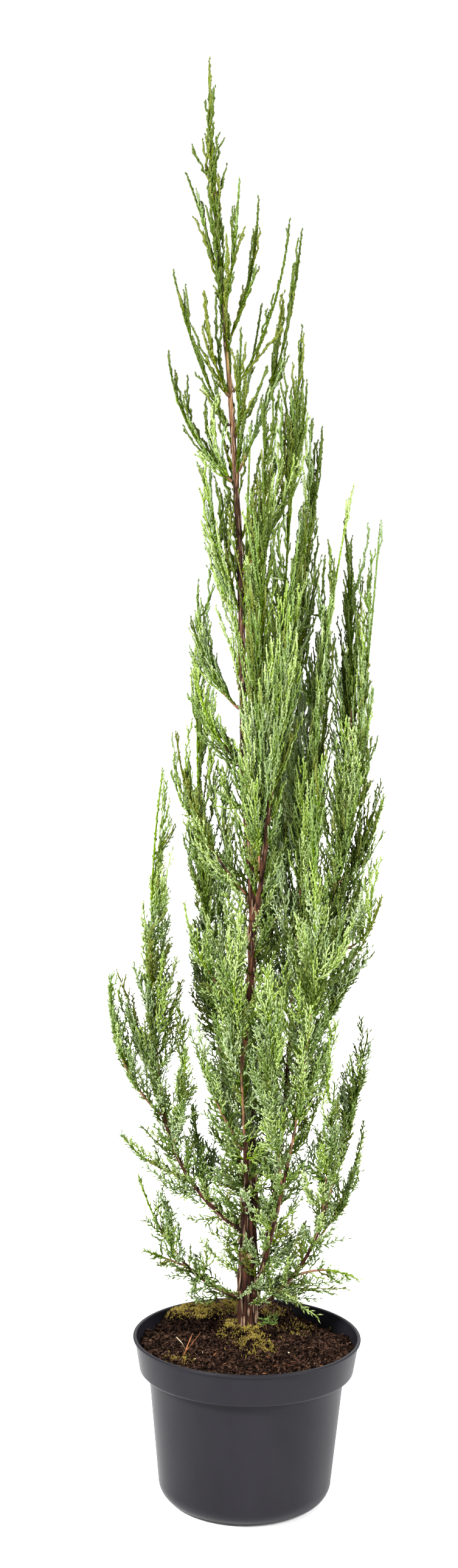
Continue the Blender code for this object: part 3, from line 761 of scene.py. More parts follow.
@dataclass
class Patch:
    """Places, triangles and one number a place, ready to become part of a mesh."""

    places: Array
    faces: Array
    values: Array

    @staticmethod
    def repeated(places: Array, faces: Array, values: Array) -> "Patch":
        """Joins many copies of one net of triangles.

        Args:
            places: The places of each copy.
            faces: The triangles of one copy.
            values: The values of one copy's places.

        Returns:
            The copies as one patch.
        """
        count, corners = places.shape[:2]
        shifted = faces[None] + corners * np.arange(count)[:, None, None]
        return Patch(places.reshape(-1, 3), shifted.reshape(-1, 3), np.tile(values, count))

    @staticmethod
    def joined(parts: "Sequence[Patch]") -> "Patch":
        """Returns several patches as one."""
        starts = np.cumsum([0] + [len(part.places) for part in parts[:-1]])
        return Patch(
            np.concatenate([part.places for part in parts]),
            np.concatenate([part.faces + start for part, start in zip(parts, starts)]),
            np.concatenate([part.values for part in parts]),
        )

    def object(self, name: str) -> Object:
        """Makes an object of the patch.

        Args:
            name: The object's name.

        Returns:
            The object, with the values in its attribute "tip".
        """
        mesh = bpy.data.meshes.new(name)
        mesh.vertices.add(len(self.places))
        mesh.vertices.foreach_set("co", self.places.ravel())
        mesh.loops.add(self.faces.size)
        mesh.loops.foreach_set("vertex_index", self.faces.ravel().astype(np.int32))
        mesh.polygons.add(len(self.faces))
        mesh.polygons.foreach_set("loop_start", np.arange(0, self.faces.size, 3, dtype=np.int32))
        mesh.update(calc_edges=True)
        mesh.attributes.new("tip", "FLOAT", "POINT").data.foreach_set("value", self.values.astype(np.float32))
        mesh.shade_smooth()
        return linked(bpy.data.objects.new(name, mesh))


def linked(obj: Object) -> Object:
    """Returns the object, now in the scene."""
    bpy.context.scene.collection.objects.link(obj)
    return obj


def finished(name: str, bm: bmesh.types.BMesh, sharp: float = 35.0) -> Object:
    """Makes a smoothly shaded object of a closed bmesh, which is freed.

    Args:
        name: The object's name.
        bm: The shape.
        sharp: Degrees past which an edge stays sharp.

    Returns:
        The object.
    """
    bmesh.ops.recalc_face_normals(bm, faces=bm.faces)
    mesh = bpy.data.meshes.new(name)
    bm.to_mesh(mesh)
    bm.free()
    mesh.shade_smooth()
    mesh.set_sharp_from_angle(angle=math.radians(sharp))
    return linked(bpy.data.objects.new(name, mesh))


def placed(obj: Object, material: bpy.types.Material, slot: str, nodes: Sequence[str]) -> None:
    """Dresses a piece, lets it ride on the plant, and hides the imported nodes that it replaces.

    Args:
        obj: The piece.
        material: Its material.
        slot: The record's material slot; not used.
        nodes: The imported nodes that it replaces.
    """
    obj.data.materials.clear()
    obj.data.materials.append(material)
    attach(obj, ROOT)
    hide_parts(*nodes)
    obj.data.calc_loop_triangles()
    LOG.info("%s: %d triangles", obj.name, len(obj.data.loop_triangles))


def node(tree: NodeTree, kind: str, inputs: Dict[Union[int, str], object], **settings: object) -> bpy.types.Node:
    """Adds a shader node.

    Args:
        tree: The nodes that it joins.
        kind: What kind it is.
        inputs: The value of each input, or the socket that feeds it.
        settings: Its own settings.

    Returns:
        The node.
    """
    made = tree.nodes.new("ShaderNode" + kind)
    for name, value in settings.items():
        setattr(made, name, value)
    for name, value in inputs.items():
        if isinstance(value, Socket):
            tree.links.new(value, made.inputs[name])
        else:
            made.inputs[name].default_value = value
    return made


def blend(tree: NodeTree, mask: Socket, first: object, second: object) -> Socket:
    """Returns the first colour where the mask is nought, and the second where it is one."""
    return node(tree, "Mix", {"Factor": mask, "A": first, "B": second}, data_type="RGBA").outputs["Result"]


class Effect(Enum):
    """The effects that several materials share, each in one shader group."""

    MOTTLE = "mottled_colour"
    GRAIN = "surface_grain"

    def placed(self, tree: NodeTree, **values: object) -> bpy.types.NodeOutputs:
        """Places the effect's group in a material, and builds it at its first use.

        Args:
            tree: The material's nodes.
            values: The values of the group's inputs.

        Returns:
            The group's outputs.
        """
        return node(tree, "Group", values, node_tree=bpy.data.node_groups.get(self.value) or self.group()).outputs

    def group(self) -> NodeTree:
        """Returns the new group: noise on stretched Object coordinates, as a height or as the mask of two colours."""
        mottle = self is Effect.MOTTLE
        inputs = {"Stretch": "Vector", "Scale": "Float"}
        inputs |= {"First": "Color", "Second": "Color", "Bias": "Float"} if mottle else {"Detail": "Float"}
        outputs = {"Colour": "Color", "Mask": "Float"} if mottle else {"Height": "Float"}
        tree = bpy.data.node_groups.new(self.value, "ShaderNodeTree")
        for way, kinds in (("INPUT", inputs), ("OUTPUT", outputs)):
            for name, kind in kinds.items():
                tree.interface.new_socket(name=name, in_out=way, socket_type="NodeSocket" + kind)
        given, found = tree.nodes.new("NodeGroupInput").outputs, tree.nodes.new("NodeGroupOutput").inputs
        place = node(tree, "TexCoord", {}).outputs["Object"]
        stretched = node(tree, "VectorMath", {0: place, 1: given["Stretch"]}, operation="MULTIPLY").outputs[0]
        sizes = {"Scale": given["Scale"], "Detail": 4.0 if mottle else given["Detail"]}
        pattern = node(tree, "TexNoise", {"Vector": stretched, **sizes}).outputs["Fac"]
        if mottle:
            steeper = {0: pattern, 1: 3.2, 2: given["Bias"]}
            mask = node(tree, "Math", steeper, operation="MULTIPLY_ADD", use_clamp=True).outputs[0]
            tree.links.new(mask, found["Mask"])
            tree.links.new(blend(tree, mask, given["First"], given["Second"]), found["Colour"])
        else:
            tree.links.new(pattern, found["Height"])
        return tree


def shown(colour: Colour) -> Tuple[float, float, float, float]:
    """Returns a screen colour, 0 to 255 a part, as the linear colour of a socket."""
    parts = [part / 255 for part in colour]
    return (*(part / 12.92 if part <= 0.04045 else ((part + 0.055) / 1.055) ** 2.4 for part in parts), 1.0)


@dataclass(frozen=True)
class Finish:
    """A matt or satin finish of two mottled colours with a grain.

    Colours are screen colours.  Scales are features a metre.
    """

    name: str
    first: Colour
    second: Colour
    scale: float
    stretch: Place = (1.0, 1.0, 1.0)
    bias: float = -1.1
    roughness: float = 0.7
    specular: float = 0.3
    grain_scale: float = 900.0
    grain_detail: float = 3.0
    grain_depth: float = 0.0002
    tip: Optional[Colour] = None
    tip_start: float = 0.25
    tip_most: float = 0.85

    def material(self) -> bpy.types.Material:
        """Returns a new material of this finish."""
        material = bpy.data.materials.new(self.name)
        material.use_nodes = True
        tree = material.node_tree
        grain = Effect.GRAIN.placed(tree, Stretch=self.stretch, Scale=self.grain_scale, Detail=self.grain_detail)
        bump = node(tree, "Bump", {"Distance": self.grain_depth, "Height": grain["Height"]})
        shader = tree.nodes["Principled BSDF"].inputs
        shader["Roughness"].default_value = self.roughness
        shader["Specular IOR Level"].default_value = self.specular
        tree.links.new(self.colour(tree), shader["Base Color"])
        tree.links.new(bump.outputs["Normal"], shader["Normal"])
        return material

    def colour(self, tree: NodeTree) -> Socket:
        """Mixes the two colours, and blends the tip colour in towards each twig's tip.

        Args:
            tree: The material's nodes.

        Returns:
            The colour.
        """
        mottled = Effect.MOTTLE.placed(
            tree, First=shown(self.first), Second=shown(self.second), Stretch=self.stretch, Scale=self.scale,
            Bias=self.bias,
        )["Colour"]
        if not self.tip:
            return mottled
        share = node(tree, "Attribute", {}, attribute_name="tip").outputs["Fac"]
        ramp = node(tree, "MapRange", {"Value": share, "From Min": self.tip_start, "To Max": self.tip_most})
        return blend(tree, ramp.outputs["Result"], mottled, shown(self.tip))


@dataclass(frozen=True)
class BarkFinish(Finish):
    """Shaggy bark: dark below and tan towards the top, with the first colour in furrows and the second on flakes."""

    heights: Row = (0.17, 0.30, 0.55, 0.80, 0.98, 1.09, 1.14, 1.22)
    colours: Tuple[Colour, ...] = (
        (64, 36, 24), (68, 40, 27), (88, 54, 36), (80, 54, 40), (76, 54, 40), (106, 76, 52), (154, 122, 82),
        (98, 108, 52),
    )

    def colour(self, tree: NodeTree) -> Socket:
        """Ramps the colours up the limb, and lays the furrows and the flakes over them.

        Args:
            tree: The material's nodes.

        Returns:
            The colour.
        """
        foot, top = self.heights[0], self.heights[-1]
        place = node(tree, "TexCoord", {}).outputs["Object"]
        level = node(tree, "SeparateXYZ", {"Vector": place}).outputs["Z"]
        share = node(tree, "MapRange", {"Value": level, "From Min": foot, "From Max": top}).outputs["Result"]
        ramp = node(tree, "ValToRGB", {"Fac": share})
        stops = ramp.color_ramp.elements
        stops.remove(stops[-1])
        for height, colour in zip(self.heights, self.colours):
            spot = (height - foot) / (top - foot)
            stop = stops.new(spot) if spot else stops[0]
            stop.position, stop.color = spot, shown(colour)
        furrows, flakes = (
            Effect.MOTTLE.placed(tree, Stretch=stretch, Scale=scale, Bias=bias)["Mask"] for stretch, scale, bias in (
                (self.stretch, self.scale, self.bias), ((1.0, 1.0, 0.30), self.scale / 2, self.bias - 1.0)
            )
        )
        furrowed = blend(tree, furrows, shown(self.first), ramp.outputs["Color"])
        return blend(tree, flakes, furrowed, shown(self.second))


class Tint(Enum):
    """The plain tints dealt out by spray, each with its number, its slot, and its two colours and that of its tips."""

    # The tip colours are partly the shoots' own paler tips and partly painted highlight
    DEEP = 0, "shoots_green", (30, 42, 3), (54, 72, 8), (92, 105, 58)
    OLIVE = 1, "shoots_green", (42, 50, 2), (74, 84, 8), (112, 119, 66)
    MID = 2, "shoots_green", (40, 58, 3), (70, 97, 10), (124, 141, 92)
    FRESH = 3, "shoots_fresh", (53, 74, 4), (94, 120, 14), (147, 164, 100)
    LIGHT = 4, "shoots_fresh", (62, 80, 10), (106, 130, 32), (165, 179, 132)
    BLUE = 5, "shoots_blue", (45, 62, 8), (79, 104, 30), (135, 149, 114)
    PALE = 6, "shoots_blue", (66, 84, 22), (108, 129, 56), (166, 178, 150)

    def __init__(self, number: int, slot: str, first: Colour, second: Colour, tip: Colour) -> None:
        """Names what the tint is given, and makes its finish of the colours."""
        self.number, self.slot = number, slot
        self.finish = Finish(f"shoots_{self.name.lower()}", first, second, 650, specular=0.0, tip=tip)


@dataclass(frozen=True)
class LimbSprays:
    """Sprays that leave a limb's own bark between two heights.

    The spacing and the lengths are metres, and the leans degrees off the limb.
    """

    limb: str
    low: float
    high: float
    spacing: float
    lengths: Pair
    leans: Pair


LIMB_SPRAYS = tuple(LimbSprays(*row) for row in (
    ("trunk", 0.192, 0.330, 0.0040, (0.040, 0.078), (56, 82)),
    ("trunk", 0.330, 0.640, 0.0052, (0.038, 0.066), (36, 54)),
    ("trunk", 0.640, 0.880, 0.0100, (0.040, 0.070), (18, 30)),
    ("trunk", 0.880, 1.080, 0.0075, (0.045, 0.080), (14, 24)),
    ("trunk", 1.090, 1.300, 0.0100, (0.045, 0.065), (2, 6)),
    ("bough_left", 0.300, 0.412, 0.0040, (0.030, 0.056), (36, 60)),
    ("bough_left_low", 0.206, 0.238, 0.0050, (0.022, 0.050), (45, 75)),
    ("bough_inner_left", 0.310, 0.384, 0.0055, (0.034, 0.056), (40, 60)),
    ("bough_right_back", 0.240, 0.500, 0.0060, (0.032, 0.054), (38, 58)),
    ("bough_right_slim", 0.225, 0.356, 0.0055, (0.030, 0.052), (42, 64)),
    ("bough_right_low", 0.205, 0.302, 0.0045, (0.026, 0.056), (40, 66)),
    ("bough_right_far", 0.495, 0.742, 0.0045, (0.040, 0.075), (18, 40)),
    ("bough_second_leader", 0.615, 0.742, 0.0070, (0.040, 0.060), (20, 34)),
    ("bough_back_left", 0.330, 0.425, 0.0065, (0.032, 0.054), (36, 56)),
    ("bough_back_right", 0.400, 0.498, 0.0065, (0.032, 0.054), (36, 56)),
))


# Places as seen from the front, on the upright plane through the origin
Seen = Tuple[float, float]


@dataclass(frozen=True)
class Viewpoint:
    """Where the photograph was taken from, and the size of its frame in pixels."""

    place: Place = (0.0, -3.0, 1.2605)
    pitch: float = math.radians(9.90)
    yaw: float = math.radians(-0.514)
    roll: float = math.radians(0.91)
    lens: float = 71.52
    sensor: float = 36.0
    frame: Tuple[int, int] = (753, 2576)

    def axes(self) -> Tuple[Vector, Vector, Vector]:
        """Returns the directions to the right, up and ahead in the frame."""
        level = Vector((math.cos(self.yaw), -math.sin(self.yaw), 0.0))
        forward = math.cos(self.pitch)
        ahead = Vector((math.sin(self.yaw) * forward, math.cos(self.yaw) * forward, -math.sin(self.pitch)))
        upright = level.cross(ahead)
        right = math.cos(self.roll) * level + math.sin(self.roll) * upright
        return right, math.cos(self.roll) * upright - math.sin(self.roll) * level, ahead

    def spot(self, across: float, down: float) -> Seen:
        """Finds what a pixel of the frame shows on the upright plane through the origin.

        Args:
            across: The pixel's column.
            down: Its row.

        Returns:
            The spot.
        """
        right, above, ahead = self.axes()
        pixel = self.sensor / self.lens / max(self.frame)
        way = ahead + pixel * ((across - self.frame[0] / 2) * right - (down - self.frame[1] / 2) * above)
        place = Vector(self.place) - way * (self.place[1] / way.y)
        return place.x, place.z


VIEW = Viewpoint()
EYE = np.array(VIEW.place)


def seen(places: Array) -> Array:
    """Returns where the places are seen on the upright plane through the origin, as rows or grids of them."""
    nearer = EYE[1] / (EYE[1] - places[..., 1])
    return (EYE + (places - EYE) * nearer[..., None])[..., [0, 2]]


def at_depth(spot: Seen, depth: float) -> Array:
    """Returns the place at a depth that is seen at a spot."""
    return EYE + (np.array((spot[0], 0.0, spot[1])) - EYE) * (depth - EYE[1]) / -EYE[1]


@dataclass(frozen=True)
class Opening:
    """A slot with round ends that the shoots leave open down to a depth."""

    top: Seen
    bottom: Seen
    half_width: float
    deepest: float

    def holds(self, places: Array) -> Array:
        """Tells which of the places are inside the slot.

        Args:
            places: Places, in rows or grids.

        Returns:
            Whether each is inside.
        """
        spots = seen(places) - self.top
        way = np.subtract(self.bottom, self.top)
        along = np.clip((spots @ way) / (way @ way), 0.0, 1.0)
        away = np.linalg.norm(spots - along[..., None] * way, axis=-1)
        return (away < self.half_width) & (places[..., 1] < self.deepest)


# Each spray that fills the crown between the masses, as the pixel where its foot is seen and that of its tip
SPRAY_ROWS = (
    (333, 290, 315, 235), (355, 305, 367, 226), (360, 330, 373, 270), (468, 560, 486, 430), (350, 590, 337, 480),
    (352, 625, 313, 530), (327, 720, 309, 620), (366, 765, 338, 655), (370, 790, 349, 665), (372, 780, 357, 650),
    (380, 720, 372, 630), (404, 700, 432, 628), (406, 690, 441, 600), (462, 640, 471, 560), (448, 760, 458, 650),
    (462, 770, 470, 680), (452, 730, 448, 640), (455, 960, 462, 880), (360, 770, 352, 668), (372, 790, 372, 690),
    (592, 980, 607, 868), (600, 1000, 616, 900), (600, 1040, 606, 930), (598, 1330, 610, 1225),
    (590, 1440, 622, 1330), (570, 1480, 612, 1390), (560, 1610, 585, 1555), (590, 1540, 612, 1422),
    (582, 1515, 600, 1455), (598, 1510, 626, 1412), (575, 1600, 607, 1530), (572, 1612, 612, 1566),
    (548, 1640, 575, 1570), (548, 1680, 590, 1570), (545, 1660, 560, 1560), (395, 1600, 396, 1480),
    (520, 1330, 538, 1130), (518, 1420, 533, 1240), (520, 1300, 536, 1180), (515, 1450, 531, 1330),
    (530, 1360, 539, 1250), (540, 1560, 590, 1440), (545, 1580, 578, 1460), (540, 1620, 602, 1550),
    (540, 1660, 548, 1560), (545, 1600, 566, 1500), (372, 1040, 352, 925), (380, 1010, 362, 950),
    (352, 1010, 341, 930), (452, 1010, 449, 900), (450, 1060, 441, 965), (505, 1050, 527, 910), (503, 1040, 514, 940),
    (500, 1160, 505, 1050), (545, 1150, 549, 1045), (535, 1160, 544, 1090), (510, 1040, 522, 960),
    (505, 1010, 512, 950), (374, 640, 356, 482), (375, 630, 365, 530), (368, 560, 352, 470), (345, 900, 330, 800),
    (348, 860, 335, 770), (460, 780, 463, 655), (452, 770, 455, 690), (505, 880, 507, 735), (503, 860, 511, 700),
    (500, 850, 503, 790), (490, 900, 494, 830), (250, 1790, 228, 1725), (365, 1720, 326, 1690),
    (505, 1900, 531, 1765), (520, 1790, 548, 1680), (400, 1590, 390, 1500), (470, 740, 456, 640),
    (472, 740, 468, 600), (478, 740, 482, 650), (505, 800, 512, 686), (500, 790, 505, 715), (345, 850, 326, 760),
    (350, 870, 336, 785), (370, 885, 353, 780), (374, 890, 362, 800), (447, 960, 450, 870), (455, 960, 444, 885),
    (440, 990, 446, 900), (452, 930, 460, 865), (366, 1010, 342, 903), (370, 1020, 354, 925), (508, 1070, 520, 903),
    (520, 1020, 536, 910), (508, 1080, 508, 980), (530, 1160, 546, 1035), (522, 1200, 540, 1080),
    (525, 1260, 541, 1150), (522, 1310, 535, 1200), (520, 1350, 530, 1255), (522, 1400, 536, 1300),
    (560, 1180, 552, 1060), (565, 1250, 545, 1120), (566, 1330, 545, 1210), (590, 1030, 597, 948),
    (298, 1335, 285, 1216), (300, 1345, 282, 1262), (290, 1310, 286, 1235), (268, 1410, 272, 1285),
    (297, 1335, 292, 1283), (304, 1330, 312, 1250), (365, 1330, 367, 1262), (370, 1320, 358, 1255),
    (585, 1330, 619, 1222), (580, 1370, 611, 1280), (578, 1410, 600, 1325), (570, 1430, 592, 1350),
    (560, 1500, 628, 1290), (550, 1520, 631, 1362), (545, 1540, 627, 1408), (545, 1550, 610, 1440),
    (545, 1500, 592, 1420), (545, 1530, 574, 1440), (548, 1590, 618, 1475), (540, 1590, 563, 1478),
    (545, 1610, 585, 1500), (545, 1640, 613, 1552), (540, 1650, 606, 1575), (540, 1660, 590, 1600),
    (542, 1600, 578, 1545), (540, 1640, 562, 1570), (538, 1680, 575, 1615), (536, 1700, 556, 1640),
    (250, 1770, 196, 1600), (250, 1740, 222, 1590), (248, 1700, 236, 1600), (265, 1450, 269, 1262),
    (268, 1500, 262, 1400), (240, 1760, 203, 1640), (235, 1750, 190, 1622), (312, 1290, 316, 1182),
    (262, 1500, 256, 1400), (262, 1800, 222, 1690), (262, 1790, 205, 1660), (340, 1740, 322, 1668),
    (338, 1750, 311, 1690), (296, 1760, 292, 1650), (525, 1810, 556, 1672), (520, 1800, 545, 1700),
    (524, 1850, 533, 1745), (596, 1760, 593, 1676), (595, 1790, 610, 1710), (575, 1800, 575, 1735),
    (590, 1920, 597, 1845), (562, 2000, 593, 1922), (280, 1900, 229, 1848), (282, 1900, 244, 1856),
    (305, 1950, 206, 1870), (300, 1960, 235, 1915), (292, 1975, 262, 1935), (288, 2060, 262, 1982),
    (290, 2050, 276, 1970), (292, 2070, 288, 1985), (272, 2040, 235, 2002), (335, 2104, 276, 2097),
    (330, 2090, 312, 2126), (332, 2092, 327, 2140), (470, 2125, 526, 2168), (475, 2128, 500, 2150),
    (350, 2010, 303, 2000), (395, 2020, 345, 1965), (398, 2030, 372, 1962), (396, 2010, 352, 1985),
    (340, 2110, 312, 2062), (345, 2120, 330, 2075), (440, 2115, 590, 2101), (440, 2120, 576, 2116),
    (445, 2125, 552, 2126), (440, 2125, 528, 2136), (450, 2120, 505, 2112), (525, 2050, 572, 2032),
    (430, 2120, 470, 2130),
)
# Each opening as the pixels of its top and its foot, and half its width in pixels
SKY_ROWS = (
    (437, 405, 432, 500, 9), (424, 500, 414, 595, 10), (390, 455, 385, 535, 6), (360, 545, 366, 612, 7),
    (350, 500, 352, 540, 4), (290, 515, 322, 592, 5), (280, 698, 312, 738, 8), (420, 725, 410, 795, 9),
    (403, 830, 404, 910, 4), (466, 405, 452, 470, 4), (481, 830, 482, 910, 4), (472, 925, 470, 950, 4),
    (560, 880, 557, 985, 7), (619, 930, 611, 1110, 6), (329, 140, 331, 215, 7), (361, 150, 361, 212, 6),
    (276, 1400, 278, 1450, 5), (282, 1460, 290, 1560, 6), (560, 1030, 558, 1090, 4), (303, 1000, 306, 1130, 8),
    (368, 1060, 388, 1150, 9), (366, 1150, 386, 1205, 11), (376, 1000, 378, 1035, 6), (304, 1150, 300, 1260, 6),
    (298, 1260, 297, 1380, 4), (317, 1195, 322, 1290, 6), (336, 1285, 345, 1345, 5), (357, 1340, 360, 1395, 7),
    (263, 1275, 246, 1430, 10), (240, 1420, 243, 1510, 5), (292, 1405, 306, 1500, 16), (304, 1500, 303, 1600, 8),
    (478, 1432, 481, 1458, 6), (306, 1620, 309, 1660, 8), (172, 1640, 190, 1750, 5), (282, 1740, 286, 1812, 6),
    (314, 1715, 336, 1795, 8), (330, 1852, 365, 1890, 8), (554, 1775, 536, 1822, 8), (592, 1870, 564, 1925, 10),
    (599, 1700, 601, 1750, 4), (510, 1862, 500, 1900, 6), (526, 1835, 525, 1855, 6), (470, 1862, 475, 1882, 5),
    (470, 1975, 461, 2002, 8), (436, 1942, 437, 1962, 5), (420, 2012, 425, 2040, 5), (511, 1990, 512, 2012, 6),
    (241, 1950, 248, 1992, 6), (352, 2082, 384, 2112, 10), (365, 2028, 366, 2046, 6), (312, 2022, 320, 2042, 7),
    (556, 2078, 588, 2060, 8),
)
TRUNK_ROWS = (
    (378, 595, 393, 885, 6), (395, 890, 401, 1165, 6), (438, 1330, 424, 1475, 4), (413, 1492, 410, 1640, 5),
    (404, 1700, 398, 1760, 4),
)
PIXEL = 0.00058
TRUNK_DEPTH = 0.03
OPENINGS = tuple(
    Opening(VIEW.spot(*row[:2]), VIEW.spot(*row[2:4]), row[4] * PIXEL, deepest)
    for rows, deepest in ((SKY_ROWS, math.inf), (TRUNK_ROWS, TRUNK_DEPTH)) for row in rows
)


def side_rib(line: Line, share: float, turn: float, lean: float, length: float) -> Bend:
    """Draws a rib that leaves a limb or a stem and turns up.

    Args:
        line: What it leaves.
        share: Where.
        turn: Which way round, in radians.
        lean: How far off the line's heading, in degrees.
        length: How long.

    Returns:
        Its foot, control point and tip.
    """
    heading, lean = line.heading(share), math.radians(lean)
    outward = square_to(heading, turn)
    foot = line.at(share) + outward * line.radius(share) * 0.8
    start = math.cos(lean) * heading + math.sin(lean) * outward
    end = unit(math.cos(lean * 0.7) * heading + math.sin(lean * 0.7) * outward + 0.25 * UP)
    control = foot + start * length / 2
    return foot, control, control + end * length / 2


def tint_at(place: Array, choice: random.Random) -> Tint:
    """Deals out a spray's tint: fresher in front, bluer low down, deeper at the back, and deeper on the right as
    painted shade.

    Args:
        place: Where the spray ends.
        choice: The source of the choice.

    Returns:
        The tint.
    """
    side, back, height = place
    low, front = clamped((0.75 - height) / 0.35), clamped((0.01 - back) / 0.06)
    high = clamped((height - 0.95) / 0.25)
    # Painted shade: the right side, away from the key lamp, gets more of the deep tint
    shaded = clamped((side - 0.04) / 0.04) * (1 - low * low) * (1 - high)
    weights = {
        Tint.DEEP: 0.7 + 1.2 * (1 - front) + 8.0 * high + 6.0 * shaded,
        Tint.OLIVE: 0.9 * (1 - 0.6 * low) + 3.5 * high,
        Tint.MID: 3.4 * (1 - 0.7 * high),
        Tint.FRESH: (1.8 + 1.2 * front) * (1 - 0.6 * low) * (1 - high),
        Tint.LIGHT: (1.6 + 1.4 * front) * (1 - high),
        Tint.BLUE: (1.4 + 1.8 * low) * (1 - 0.6 * high),
        Tint.PALE: (0.5 + 0.8 * low) * (1 - high),
    }
    return choice.choices(list(weights), list(weights.values()))[0]


# A rib's bend, the number of its tint and that of its mass, or less than nought on a limb's own bark
Rib = Tuple[Bend, int, int]


@dataclass
class Foliage:
    """The scale-leaved shoots: plumes round every stem, branchlets on the plumes, and scaly knobs on those."""

    skeleton: Skeleton
    stem_thickness: float = 1.25
    rib_radius: Habit = Habit(0.00090, 0.00100, 0.00130)
    rib_drop: Habit = Habit(0.0, 0.8, 1.2)
    kept: Habit = Habit(1.0, 1.0, 0.60)
    between_kept: Habit = Habit(1.0, 0.7, 0.1)
    woody: Habit = Habit(0.50, 0.25, 0.06)
    rib_sway: float = 0.0010
    slim_shares: Row = (0.0, 0.35, 0.75, 0.90, 1.0)
    slim_reaches: Row = (0.95, 1.25, 0.85, 0.42, 0.14)
    least_left: float = 0.32
    tucked: float = 0.55
    tucked_from: float = 0.018
    tucked_over: float = 0.040
    inward_stretch: float = 1.0
    cut_shares: int = 11
    least_kept: float = 0.3
    rib_allowed: float = 0.3
    near_foot: float = 0.006
    spray_depth: float = 0.012
    branchlets: SideRule = SideRule(
        spacing=Habit(0.0042, 0.0082, 0.0300), first=0.06, last=0.97, lean=Habit(44, 20, 15),
        closing=Habit(0.40, 0.08, 0.05), rise=Habit(0.12, 0.35, 0.40), share_of_parent=Habit(0.42, 0.46, 0.42),
        taper=Habit(0.82, 0.68, 0.58), shortest=Habit(0.005, 0.010, 0.015), longest=Habit(0.027, 0.046, 0.045),
        turn=Habit(180, 150, 137.5), radius=Habit(0.00095, 0.00102, 0.00120), sway=0.0006,
    )
    knobs: SideRule = SideRule(
        spacing=Habit(0.0026, 0.0029, 0.0019), first=0.06, last=0.99, lean=Habit(44, 26, 18),
        closing=Habit(0.55, 0.20, 0.35), rise=Habit(0.06, 0.12, 0.05), share_of_parent=Habit(0.38, 0.15, 0.10),
        taper=Habit(0.50, 0.35, 0.30), shortest=Habit(0.0034, 0.0028, 0.0034), longest=Habit(0.0076, 0.0042, 0.0046),
        turn=Habit(180, 150, 95), radius=Habit(0.00084, 0.00088, 0.00110),
    )
    # Each twig darkens towards its foot and pales towards its tip: partly the shoots' own paler growing tips, partly
    # painted shade where twigs and knobs join, and painted highlight on the knob tips
    stem_section: Section = Section.scaly(26, 0.75, 0.06, (0.0, 0.4))
    rib_section: Section = Section.scaly(11, 0.72, 0.18, (0.2, 0.6))
    branchlet_section: Section = Section.scaly(5, 0.72, 0.20, (0.2, 0.8))
    knob_section: Section = Section((0.55,), (1.0,), bud=True, paleness=(0.1, 1.0))
    stem_spray_spacing: Habit = Habit(0.0075, 0.0110, 0.0400)
    stem_spray_end: float = 0.62
    stem_spray_length: Habit = Habit(0.026, 0.044, 0.050)
    stem_spray_lean: Habit = Habit(52, 24, 8)

    def build(self) -> None:
        """Grows the shoots and joins them by tint."""
        draw = np.random.default_rng(11)
        stems = self.stems()
        woody = self.woody.at(stems.foot)
        green = stems.between(woody * 0.85, np.ones(len(stems)))
        green.radius = green.radius * 0.8
        ribs = self.ribs(*self.plumes(), *self.limb_sprays(), *self.stem_sprays())
        ribs = self.opened(self.slimmed(self.tucked_in(ribs)), self.rib_allowed)
        ribs = Twigs.joined((ribs, self.ribs(*self.filling_sprays())))
        carriers = Twigs.joined((ribs, green))
        branchlets = self.opened(self.slimmed(self.tucked_in(self.branchlets.grow(carriers, draw))), 0.0)
        branchlets.tint = self.varied(branchlets.tint, draw, 0.25)
        knobs = self.knobs.grow(Twigs.joined((branchlets, carriers)), draw)
        LOG.info("%d ribs, %d branchlets, %d knobs", len(ribs), len(branchlets), len(knobs))
        families = (
            (self.rib_section, ribs), (self.stem_section, green), (self.branchlet_section, branchlets),
            (self.knob_section, knobs),
        )
        for tint in Tint:
            self.pieces(tint, families)
        wood = stems.between(np.zeros(len(stems)), woody)
        wood.radius = wood.radius * 1.05
        placed(self.stem_section.mesh(wood).object("stems"), BARK_TWIG.material(), "bark", MASS_NAMES)

    @staticmethod
    def pieces(tint: Tint, families: Sequence[Tuple[Section, Twigs]]) -> None:
        """Makes the joined pieces of one tint.

        Args:
            tint: The tint.
            families: Each kind of twig with its section.
        """
        material = tint.finish.material()
        chosen = [(section, twigs.chosen(np.flatnonzero(twigs.tint == tint.number))) for section, twigs in families]
        parts = sum(section.triangles() * len(twigs) for section, twigs in chosen) // TRIANGLES_A_PIECE + 1
        for part in range(parts):
            patches = [
                section.mesh(twigs.chosen(np.arange(part, len(twigs), parts)))
                for section, twigs in chosen if len(twigs) > part
            ]
            piece = Patch.joined(patches).object(f"shoots_{tint.name.lower()}_{part + 1}")
            placed(piece, material, tint.slot, MASS_NAMES)

    def outside(self, places: Array) -> Tuple[Array, Array]:
        """Finds how far out in the crown places are.

        Args:
            places: The places.

        Returns:
            The level direction away from the trunk at each place, and how far out it is, 0 to 1.
        """
        trunk = self.skeleton.limbs["trunk"].points
        axis = np.column_stack([np.interp(places[:, 2], trunk[:, 2], trunk[:, side]) for side in range(2)])
        away = places[:, :2] - axis
        distance = np.linalg.norm(away, axis=1)
        outward = np.column_stack((away / (distance[:, None] + 1e-6), np.zeros(len(away))))
        return outward, np.clip((distance - self.tucked_from) / self.tucked_over, 0.0, 1.0)

    def tucked_in(self, twigs: Twigs) -> Twigs:
        """Turns twigs in where they reach away from the trunk on the crown's outside.

        Args:
            twigs: The twigs.

        Returns:
            The twigs with less reach.
        """
        outward, share = self.outside(twigs.foot)
        inward = outward * (np.maximum(((twigs.tip - twigs.foot) * outward).sum(1), 0.0) * share * self.tucked)[:, None]
        return replace(twigs, control=twigs.control - inward * 0.5, tip=twigs.tip - inward)

